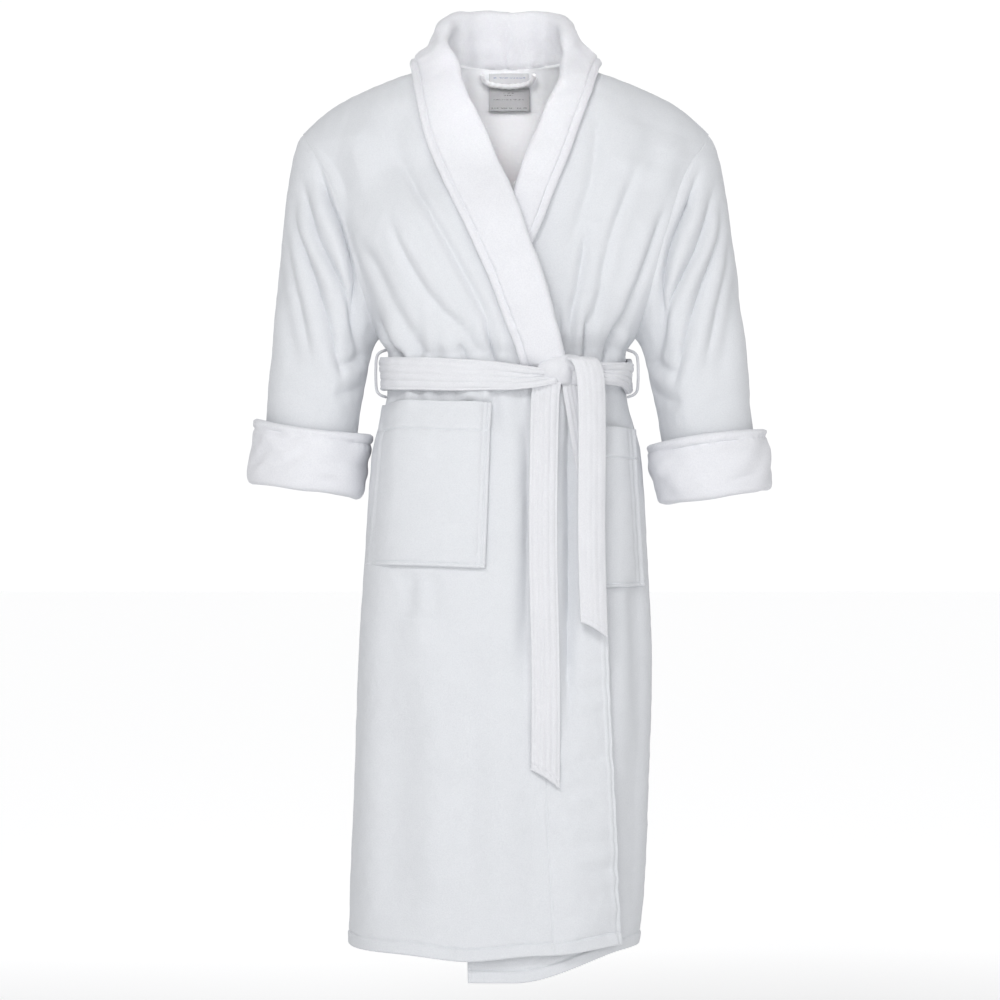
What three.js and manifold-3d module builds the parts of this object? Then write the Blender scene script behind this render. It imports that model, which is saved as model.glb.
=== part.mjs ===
// Hotel bathrobe in terry velour, worn shape, tied with its belt.
// Millimetres, +Z up, the front faces -Y, the wearer's right is -X.
// Origin: middle of the back neck seam, where the hanging loop is sewn.
import * as THREE from 'three';
import { mergeVertices } from 'three/addons/utils/BufferGeometryUtils.js';
import Module from 'manifold-3d';

const wasm = await Module();
wasm.setup();

// ---------------------------------------------------------------- driving dimensions
const CLOTH = 4;                 // one layer of terry velour with its lining
const LAYER_GAP = 1.6;           // clearance between layers that lie on each other
const HEM_Z = -1200;             // hem of the back and of the wrapped-over front
const UNDER_HEM_Z = -1238;       // hem of the under front, which hangs lower
const ARMPIT_Z = -382;
const WAIST_Z = -428;            // middle of the belt
const BELT_WIDTH = 46;
const BELT_THICK = 8;
const BODY_Y = -100;             // plane of the side seams
const SHOULDER_Y = -75;          // plane of the shoulder seams
const NECK_HALF = 75;            // half width of the back neck seam
const OVER_LIFT = 20;            // how far the over front stands off the base form
const UNDER_DROP = 6;            // how far the under front lies inside the base form
const COLLAR_THICK = 12;
const FACING_WIDTH = 84;
const LABEL_THICK = 1.2;

// Body form by height: half width on the wearer's right and left, depth to the front and back.
const FORM = [
  { z: -1260, right: 212, left: 172, front: 140, back: 138 },
  { z: -1120, right: 209, left: 186, front: 139, back: 136 },
  { z: -1000, right: 204, left: 191, front: 137, back: 133 },
  { z: -820, right: 198, left: 196, front: 132, back: 130 },
  { z: -680, right: 189, left: 190, front: 127, back: 126 },
  { z: -540, right: 179, left: 181, front: 117, back: 116 },
  { z: -453, right: 157, left: 160, front: 98, back: 94 },
  { z: -403, right: 157, left: 160, front: 98, back: 94 },
  { z: -382, right: 173, left: 176, front: 108, back: 110 },
  { z: -246, right: 212, left: 212, front: 116, back: 126 },
  { z: -170, right: 236, left: 236, front: 116, back: 124 },
  { z: -92, right: 280, left: 280, front: 116, back: 118 },
  { z: 20, right: 300, left: 300, front: 116, back: 112 },
];

// ---------------------------------------------------------------- small maths
const clamp01 = (t) => Math.min(1, Math.max(0, t));
const lerp = (a, b, t) => a + (b - a) * t;
const smooth = (a, b, x) => {
  const t = clamp01((x - a) / (b - a));
  return t * t * (3 - 2 * t);
};
const rad = THREE.MathUtils.degToRad;
const deg = THREE.MathUtils.radToDeg;
const vec = (x, y, z) => new THREE.Vector3(x, y, z);

// Straight interpolation in a short list of [position, value] pairs, in rising order.
function along(pairs, x) {
  const last = pairs.length - 1;
  if (x <= pairs[0][0]) return pairs[0][1];
  if (x >= pairs[last][0]) return pairs[last][1];
  const i = pairs.findIndex((pair) => pair[0] > x);
  const [x0, v0] = pairs[i - 1];
  const [x1, v1] = pairs[i];
  return lerp(v0, v1, (x - x0) / (x1 - x0));
}

const formValue = (key, z) => along(FORM.map((row) => [row.z, row[key]]), z);

// ---------------------------------------------------------------- the body form
// Above the armpits the form is wider than the cloth, which stops at the armhole.
const armholeShare = (z) => lerp(1, 0.88, smooth(ARMPIT_Z, ARMPIT_Z + 90, z));
const sideX = (side, z) => formValue(side < 0 ? 'right' : 'left', z);
const formHalf = (side, z) => sideX(side, z) / armholeShare(z);
const shoulderZ = (x) => {
  const out = Math.max(0, Math.abs(x) - NECK_HALF);
  return -5 - 0.2 * out - 0.0011 * out * out;
};
const neckShare = (x) => clamp01(Math.abs(x) / NECK_HALF) ** 3;

// Point of the base form: theta is 0 at the front middle, +90 on the wearer's left, 180 behind.
function basePoint(theta, z) {
  const turned = ((theta + 540) % 360) - 180;
  const side = turned < 0 ? -1 : 1;
  const isFront = Math.abs(turned) <= 90;
  const phi = isFront ? Math.abs(turned) : 180 - Math.abs(turned);
  const share = Math.sin(rad(phi));
  const x = side * formHalf(side, z) * share;
  const bulge = Math.max(0, 1 - share ** 2.6) ** (1 / 2.2);
  const depth = formValue(isFront ? 'front' : 'back', z) * bulge;
  let y = BODY_Y + (isFront ? -depth : depth);
  if (z > ARMPIT_Z) {
    const topY = isFront ? SHOULDER_Y : SHOULDER_Y * neckShare(x);
    const topZ = isFront ? shoulderZ(x) : lerp(0, shoulderZ(x), neckShare(x));
    const rise = clamp01((z - ARMPIT_Z) / (topZ - ARMPIT_Z));
    y = topY + (y - topY) * (1 - rise ** 3.2) ** 0.6;
  }
  return vec(x, y, z);
}

function bodyPoint(theta, z, offset) {
  const point = basePoint(theta, z);
  const across = basePoint(theta + 0.6, z).sub(basePoint(theta - 0.6, z));
  const up = basePoint(theta, z + 2).sub(basePoint(theta, z - 2));
  const normal = across.cross(up).normalize();
  return point.addScaledVector(normal, offset);
}

const thetaAt = (x, z) => {
  const side = x < 0 ? -1 : 1;
  const share = Math.min(1, Math.abs(x) / formHalf(side, z));
  return side * deg(Math.asin(share));
};
// Theta at which a point standing off the form by offset lies at x.
function thetaFor(x, z, offset) {
  let guess = x;
  for (let pass = 0; pass < 4; pass++) guess -= bodyPoint(thetaAt(guess, z), z, offset).x - x;
  return thetaAt(guess, z);
}
const sideTheta = (side, z) => side * deg(Math.asin(armholeShare(z)));

// ---------------------------------------------------------------- lines of the fronts
// Crossed opening edge of each lapel, by height.
const OVER_EDGE = [
  [-1260, 154], [-1062, 147], [-864, 138], [-732, 132], [-560, 115], [-440, 92], [-401, 78],
  [-267, 34], [-203, 10], [-150, -13], [-97, -36], [-57, -56], [0, -68],
];
const UNDER_EDGE = [
  [-1260, -50], [-800, -60], [-440, -70], [-300, -20], [-245, 6], [-200, 13], [-170, 18],
  [-134, 31], [-88, 52], [-48, 71], [-12, 78],
];
const HIDDEN_UNDER_LAPEL = 22;
const lapelHides = (z) => HIDDEN_UNDER_LAPEL * smooth(-440, -400, z);
const overEdgeX = (z) => along(OVER_EDGE, z) - lapelHides(z);
const underEdgeX = (z) => along(UNDER_EDGE, z) + HIDDEN_UNDER_LAPEL * smooth(-230, -180, z);

const wrapShare = (z) => 1 - smooth(-235, -150, z);
const overOffset = (theta, z) => OVER_LIFT * smooth(-88, -50, theta) * wrapShare(z);
const underOffset = (theta, z) => -UNDER_DROP * (1 - smooth(50, 88, theta)) * wrapShare(z);

// ---------------------------------------------------------------- solids
function closedGeometry(positions, triangles) {
  const raw = new THREE.BufferGeometry();
  raw.setAttribute('position', new THREE.Float32BufferAttribute(positions, 3));
  raw.setIndex(triangles);
  return mergeVertices(raw, 1e-4);
}

// Closed solid between two skins. point(u, v, side) gives the outer skin for side 1 and
// the inner skin for side -1; with ring true the u direction closes on itself.
function skinSolid(point, uSteps, vSteps, ring = false) {
  const columns = ring ? uSteps : uSteps + 1;
  const positions = [];
  for (const side of [1, -1]) {
    for (let j = 0; j <= vSteps; j++) {
      for (let i = 0; i < columns; i++) {
        positions.push(...point(i / uSteps, j / vSteps, side).toArray());
      }
    }
  }
  const skin = columns * (vSteps + 1);
  const id = (i, j, inner) => (inner ? skin : 0) + j * columns + (i % columns);
  const triangles = [];
  const quad = (a, b, c, d) => triangles.push(a, b, c, a, c, d);
  for (let j = 0; j < vSteps; j++) {
    for (let i = 0; i < uSteps; i++) {
      quad(id(i, j), id(i + 1, j), id(i + 1, j + 1), id(i, j + 1));
      quad(id(i, j, true), id(i, j + 1, true), id(i + 1, j + 1, true), id(i + 1, j, true));
    }
  }
  for (let i = 0; i < uSteps; i++) {
    quad(id(i, 0), id(i, 0, true), id(i + 1, 0, true), id(i + 1, 0));
    quad(id(i, vSteps), id(i + 1, vSteps), id(i + 1, vSteps, true), id(i, vSteps, true));
  }
  for (let j = 0; j < vSteps && !ring; j++) {
    quad(id(0, j), id(0, j + 1), id(0, j + 1, true), id(0, j, true));
    quad(id(uSteps, j), id(uSteps, j, true), id(uSteps, j + 1, true), id(uSteps, j + 1));
  }
  return outward(closedGeometry(positions, triangles));
}

function volumeOf(geometry) {
  const at = geometry.attributes.position;
  const index = geometry.index;
  const [a, b, c] = [vec(0, 0, 0), vec(0, 0, 0), vec(0, 0, 0)];
  let volume = 0;
  for (let i = 0; i < index.count; i += 3) {
    a.fromBufferAttribute(at, index.getX(i));
    b.fromBufferAttribute(at, index.getX(i + 1));
    c.fromBufferAttribute(at, index.getX(i + 2));
    volume += a.dot(b.cross(c)) / 6;
  }
  return volume;
}

function outward(geometry) {
  if (volumeOf(geometry) < 0) geometry.setIndex([...geometry.index.array].reverse());
  return geometry;
}

function toManifold(geometry) {
  const plain = geometry.clone();
  plain.deleteAttribute('normal');
  plain.deleteAttribute('uv');
  const merged = mergeVertices(plain, 1e-4);
  return new wasm.Manifold(new wasm.Mesh({
    numProp: 3,
    vertProperties: new Float32Array(merged.attributes.position.array),
    triVerts: new Uint32Array(merged.index.array),
  }));
}

function cut(geometry, tool) {
  const { vertProperties, triVerts } = toManifold(geometry).subtract(toManifold(tool)).getMesh();
  return closedGeometry([...vertProperties], [...triVerts]);
}

// Slab on the body form: edges(v) gives the two thetas and the height at v, offsets the two skins.
function bodySlab(edges, offsets, uSteps, vSteps) {
  return skinSolid((u, v, side) => {
    const [from, to, z] = edges(v, u);
    const theta = lerp(from, to, u);
    const [inner, outer] = offsets(theta, z);
    return bodyPoint(theta, z, side > 0 ? outer : inner);
  }, uSteps, vSteps);
}

// ---------------------------------------------------------------- body panels
const layer = (middle) => [middle - CLOTH / 2, middle + CLOTH / 2];

// Rows run level up to the armpit, one at each bend of the form, and then fan out to the shoulder seam.
const UPPER_ROWS = 8;
const bendsBetween = (lowZ, highZ) => FORM.map((row) => row.z).filter((z) => z > lowZ + 1 && z < highZ - 1);
const lowerHeights = (hemZ) => [hemZ, ...bendsBetween(hemZ, ARMPIT_Z), ARMPIT_Z];
const rowCount = (hemZ) => lowerHeights(hemZ).length - 1 + UPPER_ROWS;
function panelHeight(v, hemZ, topZ) {
  const heights = lowerHeights(hemZ);
  const row = Math.round(v * rowCount(hemZ));
  const armpitRow = heights.length - 1;
  if (row <= armpitRow) return heights[row];
  return lerp(ARMPIT_Z, topZ, (row - armpitRow) / UPPER_ROWS);
}

// Theta of a front's free edge.
const edgeTheta = (edgeX, offset, z) => thetaFor(edgeX(z), z, offset(thetaAt(edgeX(z), z), z));

const SEAM_GAP_DEG = 1.2;
const TOP_STOP = 6;              // the fronts stop this far below the shoulder seam line

function frontPanel(side, hemZ, edgeX, offset) {
  const rowEdges = (v, u) => {
    const guess = panelHeight(v, hemZ, -40);
    const xSide = side * sideX(side, guess);
    const x = lerp(xSide, edgeX(guess), u);
    const z = panelHeight(v, hemZ, shoulderZ(x) - TOP_STOP);
    return [sideTheta(side, z) - side * SEAM_GAP_DEG, edgeTheta(edgeX, offset, z), z];
  };
  return bodySlab(rowEdges, (theta, z) => layer(offset(theta, z)), 18, rowCount(hemZ));
}

function backPanel() {
  const rowEdges = (v, u) => {
    const guess = panelHeight(v, HEM_Z, -40);
    const x = Math.abs(lerp(-sideX(-1, guess), sideX(1, guess), u));
    const topZ = lerp(-1, shoulderZ(x), neckShare(x)) - 2;
    const z = panelHeight(v, HEM_Z, topZ);
    const reach = sideTheta(1, z) - SEAM_GAP_DEG;
    return [180 + reach, 180 - reach, z];
  };
  return bodySlab(rowEdges, () => layer(0), 24, rowCount(HEM_Z));
}


// Strip lining the free edge of a front, on its inner face, from the hem up to the belt.
function frontFacing(hemZ, edgeX, offset, inward) {
  const thick = 2.4;
  const topZ = -400;
  const heights = [hemZ + 3, ...bendsBetween(hemZ + 3, topZ), topZ];
  const rowEdges = (v) => {
    const z = heights[Math.round(v * (heights.length - 1))];
    const inset = (x) => edgeX(z) - inward * x;
    return [edgeTheta(() => inset(2), offset, z), edgeTheta(() => inset(FACING_WIDTH), offset, z), z];
  };
  const offsets = (theta, z) => {
    const outer = offset(theta, z) - CLOTH / 2 - LAYER_GAP;
    return [outer - thick, outer];
  };
  return bodySlab(rowEdges, offsets, 5, heights.length - 1);
}

// ---------------------------------------------------------------- shawl collar
// Rows across each half of the collar. Round the neck a row is [fold edge, outer edge] in x, y, z;
// on the chest a row is [fold edge, outer edge] in x, z, lying on the front.
const NECK_ROWS = [
  [[0.3, -1, 84], [0.3, 24, -10]],
  [[40, -12, 83], [46, 20, -12]],
  [[68, -40, 72], [92, 0, -4]],
  [[78, -75, 48], [122, -45, 5]],
  [[76, -108, 20], [130, -88, 4]],
];
const OVER_LAPEL_ROWS = [
  [[-66, -20], [-127, -28]], [[-56, -57], [-120, -66]], [[-36, -97], [-106, -125]],
  [[-13, -150], [-80, -187]], [[10, -203], [-55, -238]], [[34, -267], [-25, -300]],
  [[56, -330], [-2, -358]], [[72, -390], [16, -390]],
];
const UNDER_LAPEL_ROWS = [
  [[77, -20], [124, -24]], [[71, -48], [114, -52]], [[51, -88], [99, -98]],
  [[32, -134], [80, -150]], [[18, -170], [62, -190]], [[17, -197], [42, -240]],
];
const ACROSS = 5;
const COLLAR_STAND = CLOTH / 2 + 6;

function collarHalf(side, lapelRows, offset) {
  const middle = [];
  for (const [fold, edge] of NECK_ROWS) {
    const from = vec(side * fold[0], fold[1], fold[2]);
    const to = vec(side * edge[0], edge[1], edge[2]);
    middle.push(Array.from({ length: ACROSS + 1 }, (_, k) => from.clone().lerp(to, k / ACROSS)));
  }
  for (const [fold, edge] of lapelRows) {
    middle.push(Array.from({ length: ACROSS + 1 }, (_, k) => {
      const x = lerp(fold[0], edge[0], k / ACROSS);
      const z = lerp(fold[1], edge[1], k / ACROSS);
      const theta = thetaAt(x, z);
      const stand = offset(theta, z) + COLLAR_STAND + COLLAR_THICK / 2;
      return bodyPoint(theta, z, stand);
    }));
  }
  return thickGrid(middle, COLLAR_THICK);
}

// Closed slab of even thickness about a grid of middle points.
function thickGrid(middle, thickness) {
  const rows = middle.length;
  const columns = middle[0].length;
  const at = (j, i) => middle[Math.min(rows - 1, Math.max(0, j))][Math.min(columns - 1, Math.max(0, i))];
  return skinSolid((u, v, side) => {
    const j = Math.round(v * (rows - 1));
    const i = Math.round(u * (columns - 1));
    const across = at(j, i + 1).clone().sub(at(j, i - 1));
    const down = at(j + 1, i).clone().sub(at(j - 1, i));
    const normal = across.cross(down);
    if (j === 0) normal.x = 0;     // the first row is the flat end at the centre back seam
    normal.normalize();
    return at(j, i).clone().addScaledVector(normal, side * thickness / 2);
  }, columns - 1, rows - 1);
}

// ---------------------------------------------------------------- sleeves and cuffs
const CUFF_TILT = rad(8);
const CUFF_HEIGHT = 86;
const SLEEVE_END_R = 60;
const CUFF_INNER_R = 64;
const CUFF_MOUTH_R = 69;         // the cuff's top stands clear of the sleeve
const CUFF_OUTER_R = 80.5;
const ARMHOLE = { topZ: -100, bottomZ: -378, stand: 6 };
const SLEEVES = {
  right: { side: -1, cuffX: -267, cuffY: -105, cuffZ: -542 },
  left: { side: 1, cuffX: 278, cuffY: -105, cuffZ: -552 },
};

// Point of a tilted round section: angle 0 is outward from the body, 90 is forward.
function sectionPoint(sleeve, angle, radius, drop) {
  const out = radius * Math.cos(angle);
  return vec(
    sleeve.cuffX + sleeve.side * (out * Math.cos(CUFF_TILT) + drop * Math.sin(CUFF_TILT)),
    sleeve.cuffY - radius * 0.94 * Math.sin(angle),
    sleeve.cuffZ + out * Math.sin(CUFF_TILT) - drop * Math.cos(CUFF_TILT),
  );
}

function armholePoint(sleeve, angle) {
  const middleZ = (ARMHOLE.topZ + ARMHOLE.bottomZ) / 2;
  const z = middleZ + (ARMHOLE.topZ - middleZ) * Math.cos(angle);
  const reach = sideTheta(sleeve.side, z);
  const theta = Math.sin(angle) >= 0 ? reach : 180 - reach;
  return basePoint(theta, z).addScaledVector(outFromArmhole(sleeve), ARMHOLE.stand);
}

const outFromArmhole = (sleeve) => vec(sleeve.side * 0.936, 0, -0.351);

function sleeveMiddle(sleeve, angle, s) {
  const top = armholePoint(sleeve, angle);
  const end = sectionPoint(sleeve, angle, SLEEVE_END_R, CUFF_HEIGHT / 2 - 8);
  const reach = top.distanceTo(end);
  const leave = outFromArmhole(sleeve).multiplyScalar(reach * lerp(0.38, 0.42, (1 + Math.cos(angle)) / 2));
  const arrive = vec(sleeve.side * Math.sin(CUFF_TILT), 0, -Math.cos(CUFF_TILT)).multiplyScalar(reach * 0.9);
  const [s2, s3] = [s * s, s * s * s];
  return top.multiplyScalar(2 * s3 - 3 * s2 + 1)
    .addScaledVector(leave, s3 - 2 * s2 + s)
    .addScaledVector(end, 3 * s2 - 2 * s3)
    .addScaledVector(arrive, s3 - s2);
}

function sleeveTube(sleeve) {
  return skinSolid((u, v, skin) => {
    const angle = u * 2 * Math.PI;
    const s = 0.998 * v + 0.001;
    const round = sleeveMiddle(sleeve, angle + 0.02, s).sub(sleeveMiddle(sleeve, angle - 0.02, s));
    const down = sleeveMiddle(sleeve, angle, s + 0.001).sub(sleeveMiddle(sleeve, angle, s - 0.001));
    const normal = round.cross(down).normalize().multiplyScalar(sleeve.side);
    return sleeveMiddle(sleeve, angle, s).addScaledVector(normal, skin * CLOTH / 2);
  }, 18, 12, true);
}

function turnedCuff(sleeve) {
  return skinSolid((u, v, skin) => {
    const drop = CUFF_HEIGHT * (v - 0.5);
    const pinch = 3 * (2 * v - 1) ** 2;
    const radius = skin > 0 ? CUFF_OUTER_R - pinch : lerp(CUFF_MOUTH_R, CUFF_INNER_R, v);
    return sectionPoint(sleeve, u * 2 * Math.PI, radius, drop);
  }, 24, 4, true);
}

// ---------------------------------------------------------------- patch pockets
const POCKET_RIM = 9;
const POCKET_WALL = 3;

// A pocket is a shallow tray sewn on at its sides and bottom, open at its top.
function patchPocket(pocket, offset) {
  const shape = (inset, overTop, inner, outer) => {
    const [lowZ, highZ] = [pocket.bottomZ + inset, pocket.topZ + overTop];
    const middleZ = (lowZ + highZ) / 2;
    const heights = [lowZ, ...bendsBetween(lowZ, highZ), middleZ, highZ].sort((a, b) => a - b);
    const rowEdges = (v) => {
      const z = heights[Math.round(v * (heights.length - 1))];
      const down = (pocket.topZ - z) / (pocket.topZ - pocket.bottomZ);
      const fromX = lerp(pocket.top[0], pocket.bottom[0], down) + inset;
      const toX = lerp(pocket.top[1], pocket.bottom[1], down) - inset;
      return [thetaAt(fromX, z), thetaAt(toX, z), z];
    };
    return bodySlab(rowEdges, (theta, z) => [offset(theta, z) + inner, offset(theta, z) + outer], 12,
      heights.length - 1);
  };
  const face = CLOTH / 2;
  const outer = face + pocket.depth;
  const tray = shape(0, 0, face + LAYER_GAP + 1, outer + POCKET_WALL);
  return cut(tray, shape(POCKET_RIM, 20, face - 3, outer));
}

const RIGHT_POCKET = { top: [-165, -20], bottom: [-184, -27], topZ: -471, bottomZ: -686, depth: 13 };
const LEFT_POCKET = { top: [36, 172], bottom: [38, 184], topZ: -506, bottomZ: -716, depth: 12.5 };

// ---------------------------------------------------------------- belt
// Outermost layer under the belt, round the waist.
function waistLift(theta) {
  const turned = ((theta + 540) % 360) - 180;
  const onFront = smooth(-92, -50, turned) * (1 - smooth(50, 84, turned));
  return CLOTH / 2 + LAYER_GAP + (OVER_LIFT + 1) * onFront;
}

function beltWaistband() {
  return skinSolid((u, v, skin) => {
    const theta = u * 360;
    const z = WAIST_Z + BELT_WIDTH * (v - 0.5);
    return bodyPoint(theta, z, waistLift(theta) + (skin > 0 ? BELT_THICK : 0));
  }, 48, 2, true);
}

const KNOT = { fromX: 46, toX: 131, topZ: -402, bottomZ: -447, deep: 16 };
function beltKnot() {
  const inner = waistLift(0) + BELT_THICK + LAYER_GAP;
  return skinSolid((u, v, skin) => {
    const z = lerp(KNOT.bottomZ, KNOT.topZ, v);
    const theta = thetaFor(lerp(KNOT.fromX, KNOT.toX, u), z, inner);
    const bulge = 4 + (KNOT.deep - 4) * Math.sin(Math.PI * u) * Math.sin(Math.PI * v);
    return bodyPoint(theta, z, skin > 0 ? inner + bulge : inner);
  }, 8, 6);
}

// A tail hangs on the front from under the knot to a slanted end.
const TAIL_THICK = 6;
const TAIL_TOP_Z = -460;
const LONG_TAIL = { fromX: 28, toX: 73, endZ: [-952, -987], steps: 16 };
const SHORT_TAIL = { fromX: 92, toX: 132, endZ: [-753, -772], steps: 10 };
function beltTail(tail) {
  return skinSolid((u, v, skin) => {
    const z = lerp(TAIL_TOP_Z, lerp(...tail.endZ, u), v);
    const inner = OVER_LIFT + CLOTH / 2 + 2 * LAYER_GAP;
    const theta = thetaFor(lerp(tail.fromX, tail.toX, u), z, inner);
    return bodyPoint(theta, z, skin > 0 ? inner + TAIL_THICK : inner);
  }, 4, tail.steps);
}

// A belt loop is a strap that stands out round the belt at a side seam.
function beltLoop(side) {
  const strapWide = 9;
  const strapThick = 2;
  const reach = BELT_WIDTH / 2 + 7;
  const bow = waistLift(90) + BELT_THICK + 3;
  const outOf = (drop, out) => vec(side * (sideX(side, WAIST_Z) + out), BODY_Y, WAIST_Z + drop);
  const rootOut = (drop) => sideX(side, WAIST_Z + drop) - sideX(side, WAIST_Z) + CLOTH / 2 + 2;
  const route = new THREE.CatmullRomCurve3([
    outOf(reach, rootOut(reach)), outOf(reach - 4, bow + 1), outOf(9, bow + 4),
    outOf(-9, bow + 4), outOf(-reach + 4, bow + 1), outOf(-reach, rootOut(-reach)),
  ]);
  const section = new THREE.Shape([
    new THREE.Vector2(-strapThick / 2, -strapWide / 2), new THREE.Vector2(strapThick / 2, -strapWide / 2),
    new THREE.Vector2(strapThick / 2, strapWide / 2), new THREE.Vector2(-strapThick / 2, strapWide / 2),
  ]);
  return extruded(section, route, 14);
}

function extruded(section, route, steps, curveSegments = 1) {
  const raw = new THREE.ExtrudeGeometry(section, {
    extrudePath: route, steps, curveSegments, bevelEnabled: false,
  });
  raw.deleteAttribute('normal');
  raw.deleteAttribute('uv');
  return outward(mergeVertices(raw, 1e-4));
}

// ---------------------------------------------------------------- neck pieces
// Point inside the back neck, standing clear of the back panel.
const insideBack = (x, z, clear) => bodyPoint(180 - thetaAt(x, z), z, -CLOTH / 2 - clear);

const LOOP_CORD_R = 3.2;
const LOOP_STANDS_IN = 12;
function hangingLoop() {
  const section = new THREE.Shape();
  section.absarc(0, 0, LOOP_CORD_R, 0, 2 * Math.PI, false);
  const route = new THREE.CatmullRomCurve3([
    [-38, -5], [-35, -14], [-22, -20], [4, -23], [30, -20], [43, -14], [46, -5],
  ].map(([x, z]) => insideBack(x, z, LOOP_STANDS_IN)));
  return extruded(section, route, 16, 4);
}

function label(fromX, toX, bottomZ, topZ, clear) {
  return skinSolid((u, v, skin) => {
    const depth = skin > 0 ? clear : clear + LABEL_THICK;
    return insideBack(lerp(fromX, toX, u), lerp(bottomZ, topZ, v), depth);
  }, 6, 2);
}

// ---------------------------------------------------------------- the robe
const robe = new THREE.Group();
const WHITE = 0xf4f5f7;
const PALE_SATIN = 0xe3e5e6;
const GREY_SATIN = 0xb9bcbe;
function add(name, geometry, color = WHITE, roughness = 0.95) {
  const material = new THREE.MeshStandardMaterial({ color, roughness, metalness: 0 });
  const mesh = new THREE.Mesh(geometry, material);
  mesh.name = name;
  robe.add(mesh);
}

add('back_panel', backPanel());
add('right_front_panel', frontPanel(-1, HEM_Z, overEdgeX, overOffset));
add('left_front_panel', frontPanel(1, UNDER_HEM_Z, underEdgeX, underOffset));
add('right_front_facing', frontFacing(HEM_Z, overEdgeX, overOffset, 1));
add('left_front_facing', frontFacing(UNDER_HEM_Z, underEdgeX, underOffset, -1));
add('shawl_collar_right', collarHalf(-1, OVER_LAPEL_ROWS, overOffset));
add('shawl_collar_left', collarHalf(1, UNDER_LAPEL_ROWS, underOffset));
for (const [name, sleeve] of Object.entries(SLEEVES)) {
  add(`${name}_sleeve`, sleeveTube(sleeve));
  add(`${name}_cuff`, turnedCuff(sleeve));
}
add('right_patch_pocket', patchPocket(RIGHT_POCKET, overOffset));
add('left_patch_pocket', patchPocket(LEFT_POCKET, underOffset));
add('belt_waistband', beltWaistband());
add('belt_knot', beltKnot());
add('belt_long_tail', beltTail(LONG_TAIL));
add('belt_short_tail', beltTail(SHORT_TAIL));
add('right_belt_loop', beltLoop(-1));
add('left_belt_loop', beltLoop(1));
add('hanging_loop', hangingLoop());
add('brand_label', label(-26, 36, -24, -6, 5.4), PALE_SATIN, 0.6);
add('care_label', label(-25, 36, -62, -31, 5), GREY_SATIN, 0.6);

export default robe;
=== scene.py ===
"""White terry-velour hotel bathrobe, wrapped and tied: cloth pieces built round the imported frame."""

import math

import bpy
import numpy as np
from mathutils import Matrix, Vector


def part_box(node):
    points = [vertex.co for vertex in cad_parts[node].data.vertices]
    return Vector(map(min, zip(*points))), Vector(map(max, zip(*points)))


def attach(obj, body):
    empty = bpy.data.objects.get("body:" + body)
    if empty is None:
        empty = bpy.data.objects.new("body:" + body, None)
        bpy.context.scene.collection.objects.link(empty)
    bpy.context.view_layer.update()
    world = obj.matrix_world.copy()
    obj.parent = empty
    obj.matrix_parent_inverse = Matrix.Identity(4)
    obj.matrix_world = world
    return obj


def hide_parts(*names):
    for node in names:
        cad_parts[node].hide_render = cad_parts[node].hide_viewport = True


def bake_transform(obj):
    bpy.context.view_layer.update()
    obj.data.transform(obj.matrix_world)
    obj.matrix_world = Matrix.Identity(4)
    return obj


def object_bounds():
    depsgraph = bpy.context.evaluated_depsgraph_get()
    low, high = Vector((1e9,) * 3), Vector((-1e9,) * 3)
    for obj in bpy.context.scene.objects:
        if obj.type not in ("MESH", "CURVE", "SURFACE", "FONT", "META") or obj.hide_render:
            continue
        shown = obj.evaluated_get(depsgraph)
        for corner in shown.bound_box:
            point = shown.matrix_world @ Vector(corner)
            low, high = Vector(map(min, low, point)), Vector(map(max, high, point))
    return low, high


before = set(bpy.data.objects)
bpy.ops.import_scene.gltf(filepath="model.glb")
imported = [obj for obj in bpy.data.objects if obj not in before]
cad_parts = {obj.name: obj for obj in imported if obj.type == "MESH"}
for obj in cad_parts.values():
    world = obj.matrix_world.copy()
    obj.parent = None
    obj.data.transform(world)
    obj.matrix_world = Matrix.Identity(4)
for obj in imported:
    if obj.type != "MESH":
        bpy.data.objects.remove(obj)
cad_low, cad_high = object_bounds()

MM = 0.001                     # the shapes below are worked out in millimetres
SEED = 7

# ------------------------------------------------------------------ driving sizes, mm
CLOTH = 5.0                    # terry velour with its pile
SIDE_Y = -100.0                # plane of the side seams
SHOULDER_Y = -75.0             # plane of the shoulder seams
ARMPIT_Z = -382.0
NECK_HALF = 75.0
OVER_LIFT = 20.0               # the wrapped-over front stands off the form, over the under pocket
SKIRT_LIFT = 9.0               # and comes closer to the under front below the pockets
UNDER_DROP = 6.0
HEM_BAND = 17.0                # turned hem, up to its stitch line
SEAM_LAP = 2.4                 # how far the panels' tops reach over the shoulder seam
HEM_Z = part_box("back_panel")[0].z / MM
UNDER_HEM_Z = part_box("left_front_panel")[0].z / MM
BELT_Z = (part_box("belt_waistband")[0].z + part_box("belt_waistband")[1].z) / 2 / MM
BELT_WIDTH = (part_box("belt_waistband")[1].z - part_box("belt_waistband")[0].z) / MM

# Body form by height: half width on the wearer's right and left, depth to the front and back.
FORM_Z = np.array([-1260, -1120, -1000, -820, -680, -540, -453, -403, -375, -246, -170, -92, 40.0])
FORM = {
    "right": np.array([212, 209, 204, 198, 189, 179, 158, 157, 173, 212, 236, 280, 310.0]),
    "left": np.array([170, 186, 191, 196, 190, 181, 161, 160, 176, 212, 236, 280, 310.0]),
    "front": np.array([140, 139, 137, 132, 127, 117, 98, 98, 108, 116, 116, 116, 116.0]),
    "back": np.array([138, 136, 133, 130, 126, 116, 94, 94, 110, 126, 124, 118, 112.0]),
}


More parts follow.
